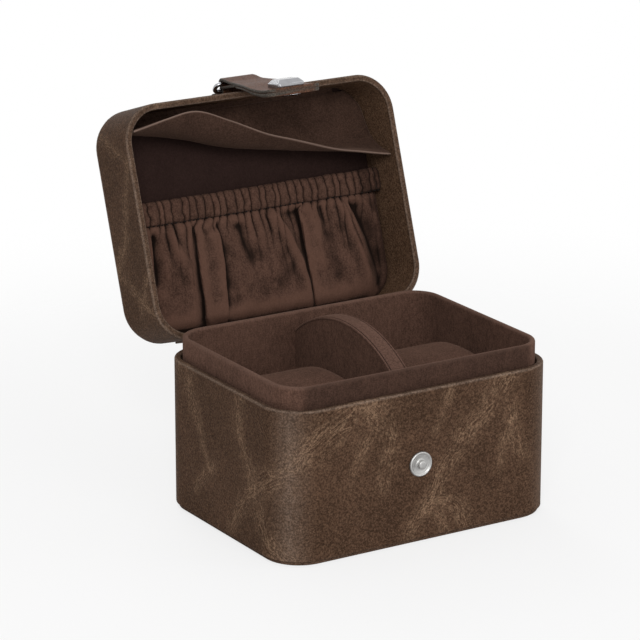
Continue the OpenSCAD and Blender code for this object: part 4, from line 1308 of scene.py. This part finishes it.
# The camera, fitted to the photo: degrees and millimetres
AZIMUTH, ELEVATION, DISTANCE = -31.876, 17.145, 1483.2
TARGET = np.array([0, 0, 49.0])
SHIFT_RIGHT, SHIFT_UP = -16.87, 35.42
LENS, SENSOR = 189.6, 36.0


# Name, place, height of what it shines on, size (all in metres) and watts
LIGHTS = [("key", (-0.8, -1.15, 0.95), 0.08, 0.5, 9.5), ("fill", (1.0, -0.8, 0.6), 0.08, 0.8, 1.6),
          ("front", (0.1, -1.3, 0.5), 0.08, 0.5, 3), ("rim", (0.2, 1.2, 0.9), 0.1, 0.8, 4)]
WHITE = (1, 1, 1, 1)


def aimed(name, data, spot, ahead):
    """An object that stands at a spot, in metres, and looks ahead."""
    made = bpy.data.objects.new(name, data)
    bpy.context.scene.collection.objects.link(made)
    made.location = spot
    made.rotation_mode = "QUATERNION"
    made.rotation_quaternion = Vector(ahead).to_track_quat("-Z", "Y")
    return made


def stage():
    """A white floor that fades out, in a white room that lights the case less than it shows in mirrors."""
    bpy.ops.mesh.primitive_circle_add(vertices=96, radius=3.0, fill_type="NGON", location=(0, 0, -0.0003))
    floor = bpy.context.object
    floor.name = "floor"
    s = Shader("floor_paint")
    nodes = s.tree.nodes
    s.feed(nodes["Principled BSDF"], {"Base Color": (0.9, 0.9, 0.9, 1), "Roughness": 0.8})
    far = s.node("VectorMath", {0: s.node("TexCoord", output="Object")}, "Value", operation="LENGTH")
    glow = s.node("Emission", {"Color": WHITE, "Strength": 1.0})
    direct = s.times(s.node("LightPath", output="Is Camera Ray"), 0.75)
    paint = s.node("MixShader", {0: direct, 1: nodes["Principled BSDF"].outputs[0], 2: glow})
    faded = s.node("MixShader", {0: s.ramp(far, 0.22, 0.5), 1: paint, 2: s.node("BsdfTransparent")})
    s.feed(nodes["Material Output"], {"Surface": faded})
    floor.data.materials.append(s.made)
    world = Shader("studio", bpy.data.worlds)
    bpy.context.scene.world = world.made
    camera_ray, through, mirrored = (world.node("LightPath", output=f"Is {kind} Ray")
                                     for kind in ("Camera", "Transmission", "Glossy"))
    seen = world.math("MAXIMUM", world.math("MAXIMUM", camera_ray, through), mirrored)
    strength = world.node("MapRange", {"Value": seen, "To Min": 0.5, "To Max": 1.0})
    world.feed(world.tree.nodes["Background"], {"Strength": strength, "Color": WHITE})


def camera():
    a, e = math.radians(AZIMUTH), math.radians(ELEVATION)
    back = np.array([math.sin(a) * math.cos(e), -math.cos(a) * math.cos(e), math.sin(e)])
    right = np.array([math.cos(a), math.sin(a), 0])
    spot = TARGET + back * DISTANCE + right * SHIFT_RIGHT + np.cross(back, right) * SHIFT_UP
    data = bpy.data.cameras.new("camera")
    data.sensor_width, data.lens = SENSOR, LENS
    data.clip_start, data.clip_end = 0.05, 20
    bpy.context.scene.camera = aimed("camera", data, spot * MM, -back)


stage()
camera()
for name, spot, height, size, watts in LIGHTS:
    lamp = bpy.data.lights.new(name, "AREA")
    lamp.shape, lamp.size, lamp.energy = "DISK", size, watts
    aimed(name, lamp, spot, Vector((0, 0, height)) - Vector(spot))
bpy.context.scene.view_settings.view_transform = "Standard"
